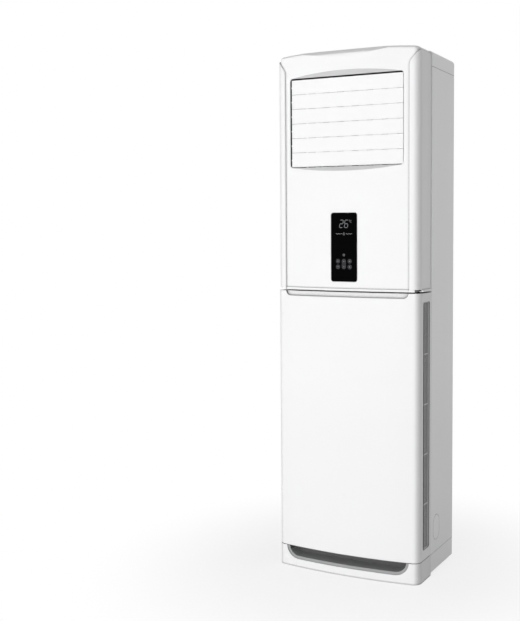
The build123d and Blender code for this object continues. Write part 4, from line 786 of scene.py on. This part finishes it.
class AIRCON_OT_louvres(bpy.types.Operator):
    """Finishes the louvre blades, the outlet frame, the guide vanes and what drives them"""

    bl_idname = "aircon.louvres"
    bl_label = "Louvres and vanes"

    def execute(self, context):
        paint, works = context.scene.aircon_paint, context.scene.aircon_works
        blade = moulded("blade_white", paint.blade, 0.38, soft_edge=0.5 * MM)
        dress(blade, *numbered("louvre_blade"))
        # Painted shade: near black frame and vanes for the shade inside the outlet.
        dark = moulded("outlet_painted_shade", paint.frame, 0.6, grain=0.06 * MM)
        dress(dark, "outlet_frame", *numbered("guide_vane"))
        dress(moulded("nylon", works.link_bar, 0.5), "louvre_link_bar", "vane_link_bar")
        dress(brushed("motor_can", works.small_motor, "X"), "louvre_motor", "vane_motor")
        return {"FINISHED"}


class AIRCON_OT_control_window(bpy.types.Operator):
    """Finishes the control window, its keys and the circuit boards"""

    bl_idname = "aircon.control_window"
    bl_label = "Control window"

    def execute(self, context):
        paint, works = context.scene.aircon_paint, context.scene.aircon_works
        dress(gloss_window("window_black", paint.window, 0.06), "display_window")
        dress(gloss_window("key_black", paint.window, 0.12), *KEY_ICONS)
        dress(circuit("board_green", works.board), "display_board", "control_board")
        return {"FINISHED"}


class AIRCON_OT_read_out(bpy.types.Operator):
    """Makes the lit digits, the row of symbols and the sensor mark on the window"""

    bl_idname = "aircon.read_out"
    bl_label = "Read-out"

    def execute(self, context):
        paint, marks = context.scene.aircon_paint, context.scene.aircon_marks
        low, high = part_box("display_window")
        face, top = low.y, high.z - marks.flange
        lit = printed("read_out_lit", paint.digits, marks.lit_glow)
        dim = printed("symbols_dim", paint.icons, marks.print_glow)
        self.digits(marks, face, top, lit)
        self.unit(marks, face, top, lit)
        self.symbol_row(marks, face, top, dim)
        self.sensor(marks, face, top, dim)
        return {"FINISHED"}

    def digits(self, marks, face, top, lit):
        """The number 26."""
        mark = FlatMark((0, face, top - marks.digit_drop), marks.digit_slant)
        step, width, height, stroke = (value / MM for value in (
            marks.digit_step, marks.digit_width, marks.digit_height, marks.digit_stroke))
        for place, digit in ((-0.5, "2"), (0.5, "6")):
            add_digit(mark, digit, place * step, width, height, stroke)
        mark.make("read_out_digits", marks.ink, lit, "cabinet")

    def unit(self, marks, face, top, lit):
        """A small ring for degrees and an open one after it, in millimetres from the middle."""
        rise = marks.digit_height * marks.unit_rise
        mark = FlatMark((0, face, top - marks.digit_drop + rise), marks.digit_slant)
        mark.ring((19.2, 3.4), 1.5, 0.8, steps=16)
        mark.ring((24.6, 0.0), 3.1, 0.9, 50, 260)
        mark.make("read_out_unit", marks.ink, lit, "cabinet")

    def symbol_row(self, marks, face, top, dim):
        """A ring with a bar through it, and dashes to both sides on a thin line."""
        mark = FlatMark((0, face, top - marks.row_drop))
        mark.ring((0, 0), 3.3, 0.9)
        mark.bar((0, -4.8), (0, 4.8), 0.9)
        first, step, dash, rise = (value / MM for value in (
            marks.dash_start, marks.dash_step, marks.dash_length, marks.dash_rise))
        for side in (-1, 1):
            for i in range(marks.dash_count):
                start = side * (first + i * step)
                z = -rise if i % 2 else rise
                mark.bar((start, z), (start + side * dash, z), 1.5)
            mark.bar((side * 6.5, 0), (side * 28.5, 0), 0.5)
        mark.make("symbol_row", marks.ink, dim, "cabinet")

    def sensor(self, marks, face, top, dim):
        """A dot in a ring."""
        mark = FlatMark((0, face, top - marks.mark_drop))
        mark.ring((0, 0), 3.6, 0.7)
        mark.disc((0, 0), 1.3)
        mark.make("sensor_mark", marks.ink, dim, "cabinet")


class AIRCON_OT_key_marks(bpy.types.Operator):
    """Makes the ring and the icon on each key"""

    bl_idname = "aircon.key_marks"
    bl_label = "Key marks"

    def execute(self, context):
        paint, marks = context.scene.aircon_paint, context.scene.aircon_marks
        bright = printed("key_icons", paint.icons, marks.print_glow)
        faint = printed("key_rings", paint.rings, marks.print_glow)
        radius, stroke, drop = (value / MM for value in (
            marks.key_ring, marks.key_stroke, marks.arc_drop))
        for node, draw in KEY_ICONS.items():
            low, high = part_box(node)
            middle = (low + high) / 2
            centre = (middle.x, low.y, middle.z)
            ring = FlatMark(centre)
            if node == "temp_up_key":
                ring.ring((0, -drop), radius, stroke, 0, 180)
            elif node == "temp_down_key":
                ring.ring((0, drop), radius, stroke, 180, 180)
            else:
                ring.ring((0, 0), radius, stroke)
            ring.make(f"{node}_ring", marks.ink, faint, node)
            icon = FlatMark(centre)
            draw(icon, radius * marks.key_icon, stroke)
            icon.make(f"{node}_icon", marks.ink, bright, node)
        return {"FINISHED"}


class AIRCON_OT_intakes(bpy.types.Operator):
    """Finishes the side intakes' frames and filters"""

    bl_idname = "aircon.intakes"
    bl_label = "Side intakes"

    def execute(self, context):
        paint = context.scene.aircon_paint
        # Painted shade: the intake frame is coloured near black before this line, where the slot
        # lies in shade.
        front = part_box("intake_grilles")[0].y + paint.gap_depth
        dress(moulded("intake_grey", paint.grille, 0.45, shaded=front), "intake_grilles")
        dress(filter_mesh("filter_weave", paint.filter), "intake_filters")
        return {"FINISHED"}


class AIRCON_OT_plinth(bpy.types.Operator):
    """Finishes the toe recess and the feet"""

    bl_idname = "aircon.plinth"
    bl_label = "Toe recess and feet"

    def execute(self, context):
        paint, works = context.scene.aircon_paint, context.scene.aircon_works
        dress(moulded("lip_grey", paint.lip, 0.4), "plinth_recess_lip")
        # Painted light: the liner is coloured lighter on its floor and other faces that lean up or
        # down.
        liner = moulded("recess_dark", paint.recess, 0.55, grain=0.08 * MM,
                        painted_lean_shading=paint.recess_floor_painted_light)
        dress(liner, "plinth_recess_liner")
        dress(moulded("foot_rubber", works.rubber, 0.8, grain=0.1 * MM), "rubber_feet")
        return {"FINISHED"}


class AIRCON_OT_screws(bpy.types.Operator):
    """Makes the domed, cross-recessed screws of the back in the place of the plain ones"""

    bl_idname = "aircon.screws"
    bl_label = "Back screws"

    def execute(self, context):
        form = context.scene.aircon_screws
        steel = brushed("screw_zinc", context.scene.aircon_works.screw, "Y")
        mesh = bpy.data.meshes.new("cross_screws")
        shape = bmesh.new()
        centres, radius, seat, crown = self.places()
        for x, z in centres:
            self.head(shape, Vector((x, 0, z)), radius, seat, crown, form)
        bmesh.ops.recalc_face_normals(shape, faces=shape.faces)
        for face in shape.faces:
            face.smooth = True
        shape.to_mesh(mesh)
        shape.free()
        mesh.materials.append(steel)
        screws = bpy.data.objects.new("cross_screws", mesh)
        context.scene.collection.objects.link(screws)
        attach(screws, "cabinet")
        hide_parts("cabinet_screws")
        return {"FINISHED"}

    def loose_parts(self, mesh):
        """The points of each loose part of a mesh, in the mesh's own order."""
        shape = bmesh.new()
        shape.from_mesh(mesh)
        bmesh.ops.remove_doubles(shape, verts=shape.verts, dist=1e-6)
        parts, met = [], set()
        for first in shape.verts:
            if first in met:
                continue
            met.add(first)
            stack, part = [first], []
            while stack:
                vert = stack.pop()
                part.append(vert.co.copy())
                for edge in vert.link_edges:
                    other = edge.other_vert(vert)
                    if other not in met:
                        met.add(other)
                        stack.append(other)
            parts.append(part)
        shape.free()
        return parts

    def places(self):
        """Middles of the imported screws, their heads' radius, and the seat's and the crown's Y."""
        parts = self.loose_parts(frame["nodes"]["cabinet_screws"].data)
        centres, radius = [], 0.0
        for part in parts:
            xs, zs = [p.x for p in part], [p.z for p in part]
            centres.append(((min(xs) + max(xs)) / 2, (min(zs) + max(zs)) / 2))
            radius = (max(xs) - min(xs)) / 2
        x, z = centres[0]
        rim = [p.y for p in parts[0] if abs(math.hypot(p.x - x, p.z - z) - radius) < 0.05 * MM]
        seat = min(rim, default=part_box("back_panel")[0].y)
        return centres, radius, seat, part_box("cabinet_screws")[1].y

    def head(self, shape, centre, radius, seat, crown, form):
        """One screw head: a dome of rings with the cross pressed into it."""
        def pressed(gap, slope):
            return max(0.0, min(1.0, gap / slope))

        def point(ring, side):
            out = ring / form.rings
            turn = FULL_TURN * side / form.sides
            x, z = radius * out * math.cos(turn), radius * out * math.sin(turn)
            dome = (crown - seat) * (1 - form.dome_fall * out ** 4)
            narrow, far = min(abs(x), abs(z)), max(abs(x), abs(z))
            wall = pressed(form.recess_half - narrow, form.recess_half * form.wall_slope)
            end = pressed(form.recess_reach - far, form.recess_reach * form.end_slope)
            return centre + Vector((x, seat + dome - form.recess_depth * wall * end, z))

        tip = shape.verts.new(point(0, 0))
        rings = [[shape.verts.new(point(r, s)) for s in range(form.sides)]
                 for r in range(1, form.rings + 1)]
        rings.append([shape.verts.new(Vector((v.co.x, seat, v.co.z))) for v in rings[-1]])
        for s in range(form.sides):
            t = (s + 1) % form.sides
            shape.faces.new((tip, rings[0][s], rings[0][t]))
            for inner, outer in zip(rings, rings[1:]):
                shape.faces.new((inner[s], outer[s], outer[t], inner[t]))


class AIRCON_OT_works(bpy.types.Operator):
    """Finishes the blower, the coil, the pipes and the electrics inside"""

    bl_idname = "aircon.works"
    bl_label = "Works inside"

    def execute(self, context):
        works = context.scene.aircon_works
        dress(galvanised("zinc_sheet", works.zinc), "inlet_bulkhead", "blower_housing",
              "motor_bracket", "partition_plate", "coil_end_plates", "duct_front_wall",
              "electric_box", "electric_box_cover")
        dress(moulded("wheel_black", works.wheel, 0.5), "fan_wheel")
        dress(brushed("shaft_steel", works.shaft, "Y"), "fan_shaft")
        dress(moulded("motor_paint", works.motor, 0.4), "fan_motor")
        dress(coil_fins("fin_aluminium", works.fins), "evaporator_fins")
        dress(brushed("tube_copper", works.copper, "Z"), "evaporator_tubes", "refrigerant_pipes")
        dress(moulded("pan_plastic", works.pan, 0.5), "drain_pan")
        dress(moulded("hose_grey", works.hose, 0.6), "drain_hose")
        dress(foam_bead("duct_foam", works.foam), "duct_elbow")
        dress(moulded("terminal_cream", works.terminal, 0.5), "terminal_block")
        return {"FINISHED"}


class AIRCON_OT_stage(bpy.types.Operator):
    """Makes the floor, the white surroundings, the studio lights and the camera"""

    bl_idname = "aircon.stage"
    bl_label = "Studio"

    def execute(self, context):
        stage = context.scene.aircon_stage
        context.scene.view_settings.view_transform = "Standard"
        self.surroundings(context.scene, stage)
        self.floor(context.scene, stage)
        self.lamp(context.scene, "key_light", stage.key_place, stage.key_size, stage.key_power)
        self.lamp(context.scene, "side_light", stage.side_place, stage.side_size, stage.side_power)
        self.camera(context.scene, stage)
        return {"FINISHED"}

    def surroundings(self, scene, stage):
        """A world that is white where it is seen and lights the object at a plain level."""
        world = bpy.data.worlds.new("studio")
        scene.world = world
        tree = Tree(world)
        seen = self.seen(tree)
        level = tree.node("ShaderNodeSeparateXYZ", inputs={0: tree.node("ShaderNodeTexCoord")},
                          output="Z").absolute()
        ends, band, white = (
            tree.node("ShaderNodeBackground", inputs={"Color": WHITE, "Strength": strength})
            for strength in (stage.zenith, stage.horizon, 1.0))
        light = tree.node("ShaderNodeMixShader", inputs={0: 1.0 - level, 1: ends, 2: band})
        mixed = tree.node("ShaderNodeMixShader", inputs={0: seen, 1: light, 2: white})
        tree.node("ShaderNodeOutputWorld", inputs={"Surface": mixed})

    def seen(self, tree):
        """1 for rays that show the surroundings: straight, mirrored or through glass."""
        camera = tree.node("ShaderNodeLightPath", output="Is Camera Ray")
        glossy = tree.node("ShaderNodeLightPath", output="Is Glossy Ray")
        through = tree.node("ShaderNodeLightPath", output="Is Transmission Ray")
        return camera.max(glossy).max(through)

    def floor(self, scene, stage):
        """A pale floor that keeps the object's shadow and turns white further out."""
        half = stage.floor_half
        mesh = bpy.data.meshes.new("studio_floor")
        corners = [(-half, -half), (half, -half), (half, half), (-half, half)]
        mesh.from_pydata([(x, y, -stage.floor_drop) for x, y in corners], [], [(0, 1, 2, 3)])
        floor = bpy.data.objects.new("studio_floor", mesh)
        scene.collection.objects.link(floor)
        material = bpy.data.materials.new("studio_floor")
        tree = Tree(material)
        away = tree.node("ShaderNodeVectorMath", {"operation": "LENGTH"}, {0: tree.place()},
                         output="Value")
        near = stage.clear * stage.clear_start
        faded = tree.node("ShaderNodeMapRange", {"interpolation_type": "SMOOTHSTEP"},
                          {"Value": away, "From Min": near, "From Max": stage.clear,
                           "To Min": stage.floor_glow})
        pale = tree.node("ShaderNodeBsdfDiffuse", inputs={"Color": solid(stage.floor)})
        white = tree.node("ShaderNodeEmission", inputs={"Color": WHITE, "Strength": 1.0})
        mixed = tree.node("ShaderNodeMixShader",
                          inputs={0: faded * self.seen(tree), 1: pale, 2: white})
        tree.node("ShaderNodeOutputMaterial", inputs={"Surface": mixed})
        mesh.materials.append(material)

    def lamp(self, scene, name, place, size, power):
        """A square lamp that aims at the cabinet's middle and isn't seen or mirrored."""
        light = bpy.data.lights.new(name, "AREA")
        light.size = size
        light.energy = power
        lamp = bpy.data.objects.new(name, light)
        lamp.location = place
        aim = Vector((0, 0, (CAD_LOW.z + CAD_HIGH.z) / 2)) - Vector(place)
        lamp.rotation_euler = aim.to_track_quat("-Z", "Y").to_euler()
        lamp.visible_glossy = False
        lamp.visible_camera = False
        scene.collection.objects.link(lamp)

    def camera(self, scene, stage):
        """The camera, level but for its dip, with a shift that only frames."""
        lens = bpy.data.cameras.new("photo_camera")
        lens.sensor_width = SENSOR
        lens.lens = stage.lens
        lens.shift_x = stage.shift_x
        lens.shift_y = stage.shift_y
        camera = bpy.data.objects.new("photo_camera", lens)
        tilt = Matrix.Rotation(math.radians(90) - stage.pitch, 4, "X")
        turn = Matrix.Rotation(stage.yaw, 4, "Z")
        camera.matrix_world = Matrix.Translation(Vector(stage.camera)) @ turn @ tilt
        scene.collection.objects.link(camera)
        scene.camera = camera


class AIRCON_PT_sidebar(bpy.types.Panel):
    """Lists the steps in the 3D view's sidebar"""

    bl_idname = "AIRCON_PT_sidebar"
    bl_label = "Air Conditioner"
    bl_space_type = "VIEW_3D"
    bl_region_type = "UI"
    bl_category = "Air Conditioner"

    def draw(self, context):
        for step in STEPS:
            self.layout.operator(step.bl_idname)


STEPS = (
    AIRCON_OT_front_panels,
    AIRCON_OT_sheet_metal,
    AIRCON_OT_louvres,
    AIRCON_OT_control_window,
    AIRCON_OT_read_out,
    AIRCON_OT_key_marks,
    AIRCON_OT_intakes,
    AIRCON_OT_plinth,
    AIRCON_OT_screws,
    AIRCON_OT_works,
    AIRCON_OT_stage,
)


def register():
    """Adds the settings, the steps and the panel."""
    for group in SETTINGS.values():
        bpy.utils.register_class(group)
    for name, group in SETTINGS.items():
        setattr(bpy.types.Scene, name, PointerProperty(type=group))
    for cls in (*STEPS, AIRCON_PT_sidebar):
        bpy.utils.register_class(cls)


def unregister():
    """Takes them away again."""
    for cls in (AIRCON_PT_sidebar, *reversed(STEPS)):
        bpy.utils.unregister_class(cls)
    for name, group in SETTINGS.items():
        delattr(bpy.types.Scene, name)
        bpy.utils.unregister_class(group)


def main():
    """Runs every step in order."""
    register()
    for step in STEPS:
        folder, name = step.bl_idname.split(".")
        getattr(getattr(bpy.ops, folder), name)()


if __name__ == "__main__":
    main()
